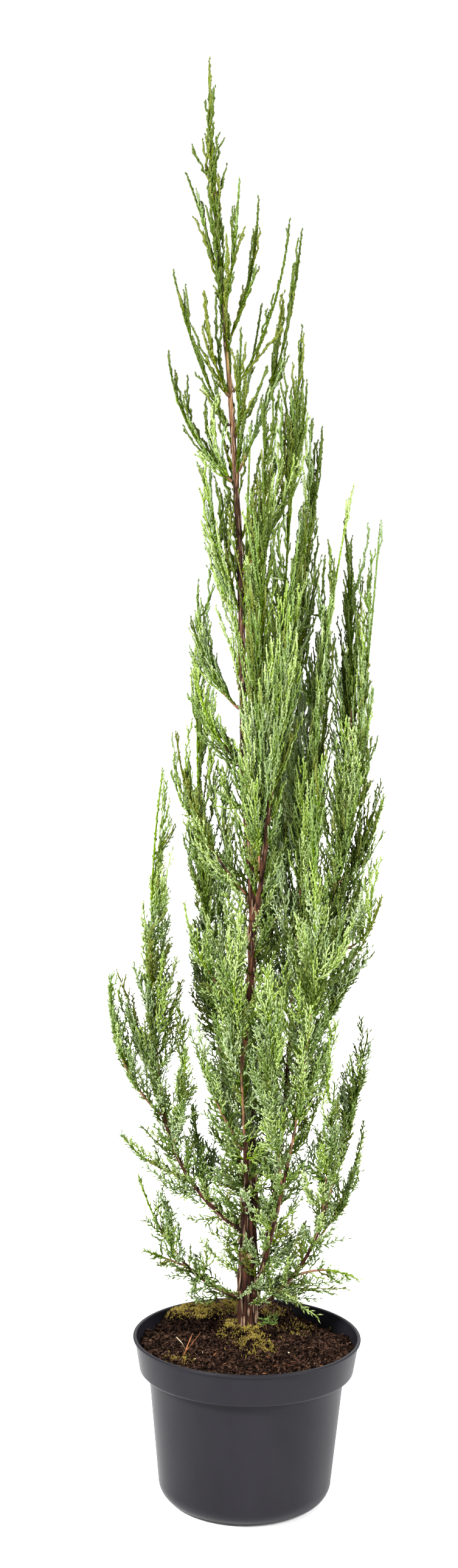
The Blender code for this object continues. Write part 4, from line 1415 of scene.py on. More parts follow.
    def stretch(self, places: Array, ways: Array) -> Array:
        """Finds how much longer twigs may be that grow up and into the crown.

        Args:
            places: Where each one grows.
            ways: Its heading.

        Returns:
            A factor for each.
        """
        outward, share = self.outside(places)
        inward = unit(0.8 * UP - 0.6 * outward)
        return 1.0 + self.inward_stretch * share * np.clip((ways * inward).sum(1), 0.0, 1.0)

    def slimmed(self, twigs: Twigs) -> Twigs:
        """Shortens twigs that reach out of their mass's flame, and drops those that would be left too short.

        Args:
            twigs: The twigs.

        Returns:
            The twigs that are left.
        """
        scale = np.ones(len(twigs))
        for number, mass in enumerate(MASSES):
            rows = np.flatnonzero(twigs.mass == number)
            stem = self.skeleton.stems[mass.name]
            away, shares = stem.nearest(twigs.tip[rows])
            near = stem.nearest(twigs.foot[rows])[0]
            limit = mass.reach * np.interp(shares, self.slim_shares, self.slim_reaches)
            beside = stem.at(shares)
            limit *= self.stretch(beside, unit(twigs.tip[rows] - beside + 1e-9))
            scale[rows] = np.clip((limit - near) / np.maximum(away - near, 1e-6), 0.0, 1.0)
            scale[rows[away <= limit]] = 1.0
        control, tip = (
            twigs.foot + (places - twigs.foot) * scale[:, None] for places in (twigs.control, twigs.tip)
        )
        return replace(twigs, control=control, tip=tip).chosen(np.flatnonzero(scale > self.least_left))

    def opened(self, twigs: Twigs, allowed: float) -> Twigs:
        """Cuts twigs where they enter an opening, and drops those of which too little would be left.

        Args:
            twigs: The twigs.
            allowed: The share of its length that a twig may have in an opening before it is cut.

        Returns:
            The twigs that are left.
        """
        shares = np.linspace(0.0, 1.0, self.cut_shares)
        rows = np.arange(len(twigs))
        places = np.stack([twigs.places(rows, np.full(len(rows), share)) for share in shares], axis=1)
        inside = np.zeros(places.shape[:2], bool)
        for opening in OPENINGS:
            inside |= opening.holds(places)
        cut = inside[:, -1] | (inside.mean(1) > allowed)
        left = np.where(cut, shares[np.maximum(inside.argmax(1) - 1, 0)], 1.0)
        return twigs.between(np.zeros(len(rows)), left).chosen(np.flatnonzero(left > self.least_kept))

    def stems(self) -> Twigs:
        """Returns the masses' stems as twigs."""
        bends = np.array([self.skeleton.bends[mass.name] for mass in MASSES])
        radii = np.full(len(MASSES), self.skeleton.stem_radii[0] * self.stem_thickness)
        tints = [tint_at(np.array(mass.tip), random.Random(index)).number for index, mass in enumerate(MASSES)]
        return Twigs(*bends.swapaxes(0, 1), radii, np.array(tints), np.arange(len(MASSES)), 0.0 * radii)

    def ribs(self, *ribs: Rib) -> Twigs:
        """Returns the ribs as twigs."""
        bends, tints, masses = (np.array(column) for column in zip(*ribs))
        radii, sway = self.rib_radius.at(bends[:, 0]), np.full(len(bends), self.rib_sway)
        return Twigs(*bends.swapaxes(0, 1), radii, tints, masses, sway)

    def plumes(self) -> Iterator[Rib]:
        """Yields the ribs of all the plumes that fit their masses' rooms, and low down of those between them."""
        for index, mass in enumerate(MASSES):
            room = Room(mass, self.skeleton)
            count = max(int(room.stem.length / RULE.spacing), RULE.fewest)
            choice = random.Random(500 + index)
            for step in range(count * 2):
                plume = room.fitted_plume(step / 2 if step % 2 else step // 2, count)
                share = self.between_kept if step % 2 else self.kept
                if plume and choice.random() < share.at(plume.foot[None])[0]:
                    sideways = np.cross(plume.heading, plume.normal)
                    plume.length *= float(self.stretch(plume.foot[None], sideways[None])[0])
                    bend = self.plume_rib(plume, room.stem)
                    yield bend, tint_at(bend[2], choice).number, index

    def plume_rib(self, plume: Plume, stem: Line) -> Bend:
        """Bends a plume's rib, which in strict habit leaves its stem lower down and runs up beside it.

        Args:
            plume: The plume.
            stem: Its stem.

        Returns:
            The rib's foot, control point and tip.
        """
        foot, control, tip = plume.bend()
        strict = float(self.rib_drop.at(foot[None])[0]) / self.rib_drop.high
        if strict == 0:
            return foot, control, tip
        share = max(plume.share - strict * self.rib_drop.high * plume.length / stem.length, 0.03)
        low = stem.at(share)
        way = tip - low
        steep = low + unit(0.6 * stem.heading(share) + 0.4 * unit(way)) * np.linalg.norm(way) * 0.5
        return low, (1 - strict) * (control + low - foot) + strict * steep, tip

    def limb_sprays(self) -> Iterator[Rib]:
        """Yields the ribs of the sprays on the limbs' own bark."""
        choice = random.Random(77)
        for sprays in LIMB_SPRAYS:
            limb = self.skeleton.limbs[sprays.limb]
            low, high = limb.share_at_height(sprays.low), limb.share_at_height(sprays.high)
            count = int((high - low) * limb.length / sprays.spacing)
            for number in range(count):
                share = low + (high - low) * (number + choice.random()) / count
                turn = number * RULE.golden_angle + choice.uniform(-0.4, 0.4)
                bend = side_rib(limb, share, turn, choice.uniform(*sprays.leans), choice.uniform(*sprays.lengths))
                yield bend, tint_at(bend[2], choice).number, -1

    def stem_sprays(self) -> Iterator[Rib]:
        """Yields the ribs of the short sprays on the lower parts of the masses' stems."""
        choice = random.Random(78)
        for index, mass in enumerate(MASSES):
            stem = self.skeleton.stems[mass.name]
            share, number = 0.0, 0
            while share < self.stem_spray_end:
                foot = stem.at(share)[None]
                turn = number * RULE.golden_angle + choice.uniform(-0.4, 0.4)
                lean = float(self.stem_spray_lean.at(foot)[0]) * choice.uniform(0.8, 1.2)
                length = float(self.stem_spray_length.at(foot)[0]) * choice.uniform(0.6, 1.2)
                bend = side_rib(stem, share, turn, lean, length)
                yield bend, tint_at(bend[2], choice).number, index
                share += float(self.stem_spray_spacing.at(foot)[0]) * choice.uniform(0.7, 1.3) / stem.length
                number += 1

    def filling_sprays(self) -> Iterator[Rib]:
        """Yields the ribs of the sprays that fill the crown, each from the line that is seen nearest its foot."""
        choice = random.Random(79)
        lines = [*self.skeleton.limbs.values(), *self.skeleton.stems.values()]
        shares = np.linspace(0.0, 1.0, 41)
        courses = np.array([line.at(shares) for line in lines])
        spots = seen(courses)
        for row in SPRAY_ROWS:
            start, end = VIEW.spot(*row[:2]), VIEW.spot(*row[2:])
            away = np.linalg.norm(spots - start, axis=2) + 0.04 * courses[..., 1]
            number, place = np.unravel_index(away.argmin(), away.shape)
            foot = courses[number, place]
            tip = at_depth(end, foot[1] + choice.uniform(-self.spray_depth, self.spray_depth))
            control = at_depth(start, 0.5 * (foot[1] + tip[1]))
            if np.linalg.norm(control - foot) < self.near_foot:
                way = unit(0.5 * lines[number].heading(shares[place]) + 0.5 * unit(tip - foot))
                control = foot + way * np.linalg.norm(tip - foot) * 0.5
            yield (foot, control, tip), tint_at(tip, choice).number, -1

    @staticmethod
    def varied(tints: Array, draw: Draw, share: float) -> Array:
        """Moves a share of the tints to a neighbouring one."""
        moved = np.clip(tints + draw.choice((-1, 1), len(tints)), 0, len(Tint) - 1)
        return np.where(draw.uniform(size=len(tints)) < share, moved, tints)


BARK_LIMBS = BarkFinish(
    "bark_shaggy", (16, 8, 5), (124, 98, 82), 340, stretch=(1.0, 1.0, 0.09), bias=-1.15, roughness=0.85,
    specular=0.1, grain_scale=544, grain_detail=5.0, grain_depth=0.0012,
)
BARK_TWIG = Finish(
    "bark_twigs", (62, 42, 27), (128, 92, 62), 240, stretch=(1.0, 1.0, 0.12), roughness=0.8, grain_depth=0.0006
)
BARK_STRIP = Finish(
    "bark_strips", (58, 38, 27), (132, 108, 86), 260, stretch=(1.0, 1.0, 0.10), roughness=0.85, grain_depth=0.0005
)
CUT_WOOD = Finish("cut_wood", (140, 118, 84), (164, 142, 106), 500, roughness=0.7)


@dataclass
class Bark:
    """The trunk and the boughs with the relief of their bark, its loose strips, and a cut stub."""

    skeleton: Skeleton
    sides: int = 36
    course: float = 0.0028
    bough_sides: int = 14
    ridge: float = 0.13
    ridges_round: float = 3.2
    ridge_length: float = 0.030
    trunk_sunk: float = 0.009
    trunk_flare: float = 0.07
    flare_height: float = 0.008
    foot_radius: float = 0.0093
    strips: int = 620
    stub_place: Place = (0.0015, 0.0245, 0.2485)
    stub_heading: Place = (0.10, -0.92, 0.35)
    stub_radius: float = 0.0029
    stub_length: float = 0.0072

    def build(self) -> None:
        """Makes the wood."""
        material = BARK_LIMBS.material()
        placed(self.trunk(), material, "bark", ("trunk",))
        for bough in BOUGHS:
            placed(self.bough(bough), material, "bark", (bough.name,))
        placed(self.loose_strips(), BARK_STRIP.material(), "bark", ("trunk",))
        placed(self.stub(), CUT_WOOD.material(), "bark", ("trunk",))

    def trunk(self) -> Object:
        """Returns the trunk, flared where it enters the soil."""
        height = TRUNK_STATIONS[-1][0] - TRUNK_STATIONS[0][0]
        rows = smooth_through(TRUNK_STATIONS, int(height / self.course))
        points, radii = rows[:, [1, 2, 0]], np.minimum(rows[:, 3], self.foot_radius)
        radii *= 1 + self.trunk_flare * np.exp(-(points[:, 2] - points[0, 2]) / self.flare_height)
        points = np.vstack((points[0] - UP * self.trunk_sunk, points))
        radii = np.concatenate(([radii[0] * 1.15], radii))
        return self.limb("trunk_bark", points, radii, self.sides, 1.0)

    def bough(self, bough: Bough) -> Object:
        """Returns a bough, whose foot grows out of its parent.

        Args:
            bough: Its sizes.

        Returns:
            The bough.
        """
        length = self.skeleton.limbs[bough.name].length
        shares = np.linspace(0.0, 1.0, int(length / self.course))[:, None]
        points = bent(*self.skeleton.bends[bough.name], shares)
        radii = bough.foot_radius + (bough.tip_radius - bough.foot_radius) * shares[:, 0]
        radii *= 1.08 + 0.55 * np.exp(-shares[:, 0] * length / 0.006)
        parent = self.skeleton.limbs[bough.parent]
        axis = parent.at(parent.nearest(points[:1])[1][0])
        points = np.vstack((points[0] + (axis - points[0]) * 0.75, points))
        radii = np.concatenate((radii[:1], radii))
        return self.limb(f"{bough.name}_bark", points, radii, self.bough_sides, 0.7)

    def limb(self, name: str, points: Array, radii: Array, sides: int, relief: float) -> Object:
        """Extrudes a limb ring by ring, each ring in and out by the ridges of its bark.

        Args:
            name: The object's name.
            points: The centre of each ring.
            radii: The radius of each ring.
            sides: How many corners a ring has.
            relief: How strong the ridges are.

        Returns:
            The limb.
        """
        bm = bmesh.new()
        bmesh.ops.create_circle(bm, cap_ends=True, segments=sides, radius=1.0)
        bm.faces.ensure_lookup_table()
        cap = bm.faces[0]
        headings = unit(np.gradient(points, axis=0))
        for number, (centre, heading, radius) in enumerate(zip(points, headings, radii)):
            if number:
                raised = bmesh.ops.extrude_face_region(bm, geom=[cap, *cap.edges])["geom"]
                cap = next(item for item in raised if isinstance(item, bmesh.types.BMFace))
            across = unit(np.cross((0.0, 1.0, 0.0), heading))
            beside = np.cross(heading, across)
            for side, corner in enumerate(cap.verts):
                turn = math.tau * side / sides
                size = radius * (1 + relief * self.ridge_at(turn, centre[2]))
                corner.co = centre + size * (math.cos(turn) * across + math.sin(turn) * beside)
        return finished(name, bm, 60.0)

    def ridge_at(self, turn: float, height: float) -> float:
        """Finds how far the bark stands in or out.

        Args:
            turn: Where round the limb.
            height: Where up it.

        Returns:
            The share of the radius.
        """
        twist = turn + 9.0 * height
        spot = Vector((
            math.cos(twist) * self.ridges_round, math.sin(twist) * self.ridges_round, height / self.ridge_length
        ))
        return self.ridge * (1.4 * noise.noise(spot) + 0.8 * noise.noise(spot * 2.7))

    def loose_strips(self) -> Object:
        """Returns thin strips of bark that peel off the limbs, most of them off the trunk."""
        draw = np.random.default_rng(5)
        lines = [self.skeleton.limbs[bough.name] for bough in BOUGHS] + [self.skeleton.limbs["trunk"]] * 8
        bends, radii = [], []
        for _ in range(self.strips):
            line = lines[draw.integers(len(lines))]
            share = draw.uniform(0.0, 0.92) ** 1.5
            heading, radius = line.heading(share), line.radius(share)
            thickness = min(radius / 0.008, 1.0)
            length = draw.uniform(0.006, 0.020) * (0.5 + thickness)
            outward = square_to(heading, draw.uniform(0, math.tau))
            foot = line.at(share) + outward * radius * 1.02
            upward = 1.0 if draw.uniform() < 0.35 else -1.0
            lift = draw.uniform(0.02, 0.22) * length
            along = heading * upward * length
            bends.append((foot, foot + along * 0.55 + outward * 0.0004, foot + along + outward * lift))
            radii.append(draw.uniform(0.0005, 0.0011) * (0.6 + thickness))
        twigs = Twigs.plain(*np.array(bends).swapaxes(0, 1), np.array(radii))
        return Section((0.0, 0.35, 0.7, 0.93), (0.5, 1.0, 0.9, 0.45), bud=True).mesh(twigs).object("bark_strips")

    def stub(self) -> Object:
        """Returns the pale end of a sawn-off side branch."""
        bm = bmesh.new()
        bmesh.ops.create_cone(
            bm, cap_ends=True, segments=16, radius1=self.stub_radius * 1.25, radius2=self.stub_radius,
            depth=self.stub_length,
        )
        rim = [edge for edge in bm.edges if all(vert.co.z > 0 for vert in edge.verts)]
        bmesh.ops.bevel(bm, geom=rim, offset=0.0005, segments=2, profile=0.5, affect="EDGES", material=-1)
        turned = Vector(self.stub_heading).normalized().to_track_quat("Z", "Y").to_matrix().to_4x4()
        bmesh.ops.transform(bm, matrix=Matrix.Translation(self.stub_place) @ turned, verts=bm.verts)
        return finished("cut_stub", bm)


@dataclass
class Ground:
    """The root plug with its moss, and the rough peat round it, in the pot.

    The plug is the square ball of a smaller pot: a block at the back, with the trunk's own mound in front of it.
    """

    peat_level: float = 0.1625
    plug_level: float = 0.1722
    block_centre: Pair = (-0.020, 0.086)
    block_half: Pair = (0.062, 0.030)
    block_rounding: float = 0.012
    lobe_centre: Pair = (0.004, 0.040)
    lobe_radius: float = 0.028
    edge: float = 0.006
    humps: Tuple[Row, ...] = (
        (-0.060, 0.046, 0.034, 0.009, -0.0180), (0.085, 0.070, 0.035, 0.030, -0.0070),
        (0.008, 0.004, 0.014, 0.030, 0.0050), (-0.066, -0.043, 0.012, 0.009, 0.0040),
        (0.0, -0.080, 0.080, 0.020, 0.0025), (0.050, -0.010, 0.030, 0.030, 0.0020),
        (0.002, 0.031, 0.016, 0.016, 0.0030),
    )
    roughness: Tuple[Pair, ...] = ((40, 0.0040), (95, 0.0046), (220, 0.0030), (520, 0.0012))
    mosses: Tuple[Row, ...] = (
        (-0.062, 0.078, 0.026, 0.018, 1.35), (-0.020, 0.085, 0.026, 0.020, 1.0), (-0.020, 0.036, 0.012, 0.009, 1.0),
        (0.005, 0.014, 0.010, 0.015, 1.2), (0.012, -0.013, 0.010, 0.013, 1.2), (0.032, 0.062, 0.022, 0.016, 0.6),
        (-0.066, -0.044, 0.010, 0.007, 0.7), (-0.008, 0.024, 0.012, 0.008, 0.8),
    )
    rings: int = 120
    steps: int = 300
    inner_radius: float = 0.1098
    sides: Tuple[Pair, ...] = ((0.1055, 0.1448), (0.0955, 0.1410), (0.0850, 0.0240), (0.0660, 0.0040), (0.0, 0.0040))
    crumbs: int = 5200
    crumb_size: float = 0.0004
    crumb_spread: float = 0.0034
    fibres: int = 1300
    fibre_length: float = 0.0025
    fibre_spread: float = 0.0085
    fibre_radius: float = 0.00019
    tufts: int = 15000
    tuft_lengths: Pair = (0.0014, 0.0034)
    tuft_radii: Pair = (0.00038, 0.00070)
    cushion_rise: float = 0.0030
    chips: int = 34
    chip_sizes: Pair = (0.0005, 0.0011)
    clods: int = 900
    threads: int = 7
    clod_spread: float = 0.0011
    thread_lengths: Pair = (0.0016, 0.0042)
    thread_radius: float = 0.00016
    loose_twigs: int = 46
    twig_lengths: Pair = (0.003, 0.010)
    twig_radius: float = 0.00030
    dead_scales: int = 46
    scale_lengths: Pair = (0.0020, 0.0052)
    needles: int = 15
    needle_lengths: Pair = (0.004, 0.0075)
    needles_up_to: float = 0.008
    upright_foot: Place = (-0.0628, -0.0350, 0.1630)
    upright_tips: Tuple[Place, ...] = (
        (-0.0540, -0.0350, 0.1874), (-0.0546, -0.0370, 0.1862), (-0.0563, -0.0370, 0.1837),
        (-0.0521, -0.0330, 0.1804), (-0.0456, -0.0300, 0.1871),
    )
    upright_radii: Row = (0.00055, 0.00035, 0.00045, 0.0003, 0.00024)
    bleached: Tuple[Place, Place] = ((-0.0611, -0.0330, 0.1690), (-0.0709, -0.0360, 0.1830))
    old_feet: Tuple[Place, Place] = ((-0.0200, 0.0550, 0.1790), (0.0208, 0.0360, 0.1760))
    old_tips: Tuple[Place, Place] = ((-0.0432, 0.0500, 0.2097), (0.0322, 0.0300, 0.2000))
    sprig_feet: Tuple[Place, ...] = ((0.0159, 0.0220, 0.1745), (0.0283, 0.0300, 0.1745), (0.0225, 0.0260, 0.1745))

    def build(self) -> None:
        """Makes the ground and what lies on it."""
        pieces = (
            (self.plug(), PEAT), (self.scattered_crumbs(), PEAT_CRUMB), (self.scattered_fibres(), FIBRE),
            (self.scattered_clods(), PEAT_FLUFF), (self.moss(), MOSS), (self.dead_twigs(), DEAD_TWIG),
            (self.old_shoots(), OLD_SHOOT), (self.scattered_chips(), CHIP), (self.sprigs(), SPRIG),
        )
        for piece, finish in pieces:
            placed(piece, finish.material(), "peat", ("soil",))

    def on_plug(self, across: float, back: float) -> float:
        """Finds how far inside the plug a place is.

        Args:
            across: The place to the right.
            back: The place to the back.

        Returns:
            Nought off the plug to one on it.
        """
        spot = Vector((across, back, 0.0))
        ragged = 0.006 * noise.noise(spot * 55.0) + 0.003 * noise.noise(spot * 170.0)
        beside = abs(across - self.block_centre[0]) - self.block_half[0] + self.block_rounding
        behind = abs(back - self.block_centre[1]) - self.block_half[1] + self.block_rounding
        block = math.hypot(max(beside, 0.0), max(behind, 0.0)) - self.block_rounding
        lobe = math.hypot(across - self.lobe_centre[0], back - self.lobe_centre[1]) - self.lobe_radius
        share = clamped(0.5 - (min(block, lobe) + ragged) / self.edge)
        return share * share * (3 - 2 * share)

    @staticmethod
    def heaped(patches: Sequence[Row], across: float, back: float) -> float:
        """Returns the sum at a place of soft round patches, each given by its middle, its two sizes and its height."""
        return sum(
            height * math.exp(-(((across - x) / wide) ** 2) - ((back - y) / deep) ** 2)
            for x, y, wide, deep, height in patches
        )

    def level(self, across: float, back: float) -> float:
        """Finds the height of the ground.

        Args:
            across: The place to the right.
            back: The place to the back.

        Returns:
            The height.
        """
        spot = Vector((across, back, 0.0))
        share = self.on_plug(across, back)
        level = self.peat_level + (self.plug_level - self.peat_level) * share
        level += self.heaped(self.humps, across, back) * (1 - 0.6 * share)
        rough = sum(depth * noise.noise(spot * scale) for scale, depth in self.roughness)
        return level + rough * (1 - 0.6 * share) - 0.0016 * (1 - share)

    def plug(self) -> Object:
        """Returns the body of the ground: a spun section whose top is then raised to the ground's level."""
        section = [(self.inner_radius * ring / self.rings, 0.0, 1.0) for ring in range(self.rings + 1)]
        bm = spun(section + [(radius, 0.0, level) for radius, level in self.sides], self.steps)
        for vert in bm.verts:
            if vert.co.z > 0.5:
                vert.co.z = self.level(vert.co.x, vert.co.y)
        return finished("ground", bm, 80.0)

    def on_ground(self, flat: Array) -> Array:
        """Returns the places on the ground at these level ones."""
        return np.column_stack((flat, [self.level(*row) for row in flat]))

    def spots(self, count: int, draw: Draw) -> Array:
        """Spreads places evenly over the ground.

        Args:
            count: How many.
            draw: The source of the places.

        Returns:
            The places, as across, back and height.
        """
        radii = (self.inner_radius - 0.0025) * np.sqrt(draw.uniform(size=count))
        turns = draw.uniform(0, math.tau, count)
        return self.on_ground(np.column_stack((radii * np.cos(turns), radii * np.sin(turns))))

    @staticmethod
    def patchy(flat: Array, mean: float, swing: float) -> Array:
        """Returns how thick the moss is at these level places: in patches that swing about a mean."""
        return np.array([mean + swing * noise.noise(Vector((*row, 0.7)) * 60.0) for row in flat])

    def bare_spots(self, count: int, share: float, draw: Draw) -> Array:
        """Spreads places over the ground where little moss is.

        Args:
            count: How many to try.
            share: How many of those on full moss are left out.
            draw: The source of the places.

        Returns:
            The places.
        """
        spots = self.spots(count, draw)
        patches = zip(spots, self.patchy(spots[:, :2], 0.62, 1.1))
        moss = [clamped(self.heaped(self.mosses, *spot[:2]) * patch) for spot, patch in patches]
        return spots[draw.uniform(size=count) > share * np.array(moss)]

    @staticmethod
    def lumps(spots: Array, sizes: Array, draw: Draw) -> Patch:
        """Makes small lumps of twenty faces, squashed and turned at random.

        Args:
            spots: Where they lie.
            sizes: Their radii.
            draw: The source of their unevenness.

        Returns:
            The lumps, joined.
        """
        bm = bmesh.new()
        bmesh.ops.create_icosphere(bm, subdivisions=1, radius=1.0)
        lump = np.array([vert.co for vert in bm.verts])
        faces = np.array([[vert.index for vert in face.verts] for face in bm.faces])
        bm.free()
        places = np.empty((len(spots), len(lump), 3))
        for number, (spot, size) in enumerate(zip(spots, sizes)):
            turn = np.array(Vector(draw.normal(size=3)).to_track_quat("Z", "Y").to_matrix())
            stretch = draw.uniform(0.45, 1.25, 3)
            places[number] = spot + (lump * draw.uniform(0.7, 1.25, (len(lump), 1)) * stretch * size) @ turn
        return Patch.repeated(places, faces, np.zeros(len(lump)))

    def lying(self, spots: Array, lengths: Array, rise: Pair, radius: float, draw: Draw) -> Twigs:
        """Lays bent twigs on the ground.

        Args:
            spots: The place of each foot.
            lengths: The length of each.
            rise: The least and the most that one rises, as a share of its length.
            radius: Their radius.
            draw: The source of their unevenness.

        Returns:
            The twigs.
        """
        count = len(spots)
        rises, turns = draw.uniform(*rise, count), draw.uniform(0, math.tau, count)
        along = np.column_stack((np.cos(turns), np.sin(turns), rises)) * lengths[:, None]
        sideways = np.column_stack((-np.sin(turns), np.cos(turns), np.zeros(count)))
        control = spots + along * 0.5 + sideways * (lengths * draw.uniform(-0.3, 0.3, count))[:, None]
        control[:, 2] += 0.16 * lengths
        tips = spots + along
        reach = np.hypot(tips[:, 0], tips[:, 1])
        tips[:, :2] *= (np.minimum(self.inner_radius - 0.002, reach) / reach)[:, None]
        return Twigs.plain(spots, control, tips, radius * draw.uniform(0.6, 1.3, count))

    def scattered_crumbs(self) -> Object:
        """Returns the crumbs of peat, few where the moss is."""
        draw = np.random.default_rng(21)
        spots = self.bare_spots(self.crumbs, 0.75, draw)
        sizes = self.crumb_size + self.crumb_spread * draw.uniform(size=len(spots)) ** 4.0
        return self.lumps(spots, sizes, draw).object("peat_crumbs")

    def scattered_clods(self) -> Object:
        """Returns the fine fluff of the peat: short bent threads in tangled clods."""
        draw = np.random.default_rng(28)
        spots = np.repeat(self.bare_spots(self.clods, 1.0, draw), self.threads, axis=0)
        spots = spots + draw.normal(0.0, self.clod_spread, spots.shape) * (1.0, 1.0, 0.5)
        lengths = draw.uniform(*self.thread_lengths, len(spots))
        twigs = self.lying(spots, lengths, (-0.4, 0.6), self.thread_radius, draw)
        return Section((0.0, 0.5), (0.8, 1.0)).mesh(twigs).object("peat_fluff")

    def scattered_fibres(self) -> Object:
        """Returns the red-brown fibres in the peat."""
        draw = np.random.default_rng(22)
        spots = self.spots(self.fibres, draw)
        lengths = self.fibre_length + self.fibre_spread * draw.uniform(size=len(spots)) ** 1.6
        twigs = self.lying(spots, lengths, (-0.10, 0.40), self.fibre_radius, draw)
        return Section((0.0, 0.4, 0.8), (0.8, 1.0, 0.7)).mesh(twigs).object("peat_fibres")

    def scattered_chips(self) -> Object:
        """Returns the few pale grains and chips on the peat."""
        draw = np.random.default_rng(25)
        spots = self.spots(self.chips, draw) + UP * 0.0008
        foot, tip = np.array(self.bleached)[:, None]
        twig = Twigs.plain(foot, foot * (0.6, 0.5, 0.35) + tip * (0.4, 0.5, 0.65), tip, np.full(1, 0.00045))
        chips = self.lumps(spots, draw.uniform(*self.chip_sizes, len(spots)), draw)
        return Patch.joined((chips, Section((0.0, 0.4, 0.9), (0.8, 0.9, 1.3)).mesh(twig))).object("pale_chips")

    def moss(self) -> Object:
        """Returns the moss: short pointed shoots close together where the ground is mossy, in small cushions."""
        draw = np.random.default_rng(23)
        rows = np.array(self.mosses)
        weights = rows[:, 2] * rows[:, 3] * rows[:, 4]
        patches = rows[draw.choice(len(rows), self.tufts, p=weights / weights.sum())]
        flat = patches[:, :2] + draw.normal(0.0, 0.75, (self.tufts, 2)) * patches[:, 2:4]
        flat = flat[np.hypot(*flat.T) < self.inner_radius - 0.0015]
        spots = self.on_ground(flat)
        low = (flat[:, 0] < -0.03) & (flat[:, 1] > 0.0) & (spots[:, 2] < self.plug_level - 0.005)
        spots = spots[(draw.uniform(size=len(spots)) < self.patchy(flat, 0.55, 1.3)) & ~low]
        count = len(spots)
        cushion = np.array([noise.noise(Vector((*spot[:2], 1.9)) * 190.0) for spot in spots])
        ways = unit(np.column_stack((draw.normal(0.0, 0.55, (count, 2)), np.ones(count))))
        lengths = (draw.uniform(*self.tuft_lengths, count) * np.clip(0.8 + 0.8 * cushion, 0.4, 1.4))[:, None]
        feet = spots - UP * 0.0004 + UP * np.maximum(cushion, 0.0)[:, None] * self.cushion_rise
        twigs = Twigs.straight(feet, ways * lengths, draw.uniform(*self.tuft_radii, count), 0.0003)
        return Section((0.0, 0.55), (1.0, 0.8)).mesh(twigs).object("moss")

    def dead_twigs(self) -> Object:
        """Returns the dead twigs: a few that stand up together at the left, and bits that lie on the ground."""
        draw = np.random.default_rng(24)
        spots = self.spots(self.loose_twigs, draw) + UP * 0.0006
        lengths = draw.uniform(*self.twig_lengths, len(spots))
        loose = self.lying(spots, lengths, (0.0, 0.3), self.twig_radius, draw)
        tips = np.array(self.upright_tips)
        feet = np.array(self.upright_foot) + draw.uniform(-0.0014, 0.0014, tips.shape)
        controls = (feet + tips) / 2 + draw.uniform(-0.0022, 0.0022, tips.shape)
        upright = Twigs.plain(feet, controls, tips, np.array(self.upright_radii))
        return Section((0.0, 0.4, 0.8), (0.9, 1.0, 0.8)).mesh(Twigs.joined((loose, upright))).object("dead_twigs")

    def old_shoots(self) -> Object:
        """Returns two old shoots beside the trunk, one of them with its dead scales still on."""
        draw = np.random.default_rng(26)
        feet, tips = np.array(self.old_feet) - UP * 0.004, np.array(self.old_tips)
        stems = Twigs.plain(feet, (feet + tips) / 2 + UP * 0.002, tips, np.array((0.0011, 0.0010)))
        count = self.dead_scales
        spots = feet[0] + (tips[0] - feet[0]) * draw.uniform(0.25, 1.0, count)[:, None]
        ways = unit(draw.normal(size=(count, 3)) + 0.6 * UP)
        ways *= draw.uniform(*self.scale_lengths, count)[:, None]
        scales = Twigs.straight(spots, ways, np.full(count, 0.00055))
        return Section((0.0, 0.4, 0.8), (0.9, 1.0, 0.7)).mesh(Twigs.joined((stems, scales))).object("old_shoots")

    def sprigs(self) -> Object:
        """Returns the young needled sprigs in the moss beside the trunk."""
        draw = np.random.default_rng(27)
        feet = np.repeat(np.array(self.sprig_feet), self.needles, axis=0)
        count = len(feet)
        feet += UP * draw.uniform(0.0, self.needles_up_to, (count, 1))
        ways = unit(draw.normal(size=(count, 3)) * (1.0, 1.0, 0.5) + 0.7 * UP)
        ways *= draw.uniform(*self.needle_lengths, count)[:, None]
        needles = Twigs.straight(feet, ways, np.full(count, 0.0005), 0.0006)
        return Section((0.0, 0.45, 0.8), (0.8, 1.0, 0.6)).mesh(needles).object("sprigs")


PEAT = Finish(
    "peat", (2, 1, 1), (44, 30, 22), 420, roughness=0.95, specular=0.02, grain_scale=1200, grain_depth=0.0009,
    bias=-1.4,
)
PEAT_CRUMB = Finish(
    "peat_crumb", (5, 2, 1), (78, 57, 46), 330, roughness=0.95, specular=0.02, grain_scale=1600, grain_depth=0.0006,
    bias=-1.42,
)
PEAT_FLUFF = Finish("peat_fluff", (16, 8, 5), (92, 68, 54), 260, roughness=0.95, specular=0.02, bias=-1.3)
FIBRE = Finish("peat_fibre", (34, 19, 12), (104, 72, 54), 300, roughness=0.9, specular=0.1)
MOSS = Finish(
    "moss", (44, 28, 8), (112, 98, 36), 170, roughness=0.85, specular=0.1, tip=(150, 134, 64), tip_most=0.5
)
DEAD_TWIG = Finish("dead_twig", (116, 56, 28), (176, 118, 74), 160, roughness=0.85)
OLD_SHOOT = Finish("old_shoot", (58, 38, 26), (122, 92, 64), 200, roughness=0.85)
CHIP = Finish("pale_chip", (150, 128, 100), (206, 190, 160), 400, roughness=0.8)
SPRIG = Finish("sprig", (54, 82, 26), (104, 136, 58), 260, roughness=0.6)


def spun(section: Sequence[Place], steps: int) -> bmesh.types.BMesh:
    """Spins a section round the upright axis into a closed shape.

    Args:
        section: The corners, the first and the last on the axis.
        steps: How many steps make the full turn.

    Returns:
        The shape.
    """
    bm = bmesh.new()
    corners = [bm.verts.new(corner) for corner in section]
    edges = [bm.edges.new(pair) for pair in zip(corners, corners[1:])]
    bmesh.ops.spin(
        bm, geom=corners + edges, cent=(0, 0, 0), axis=(0, 0, 1), dvec=(0, 0, 0), angle=math.tau, steps=steps,
        use_merge=True, use_duplicate=False,
    )
    bmesh.ops.remove_doubles(bm, verts=bm.verts, dist=1e-6)
    return bm


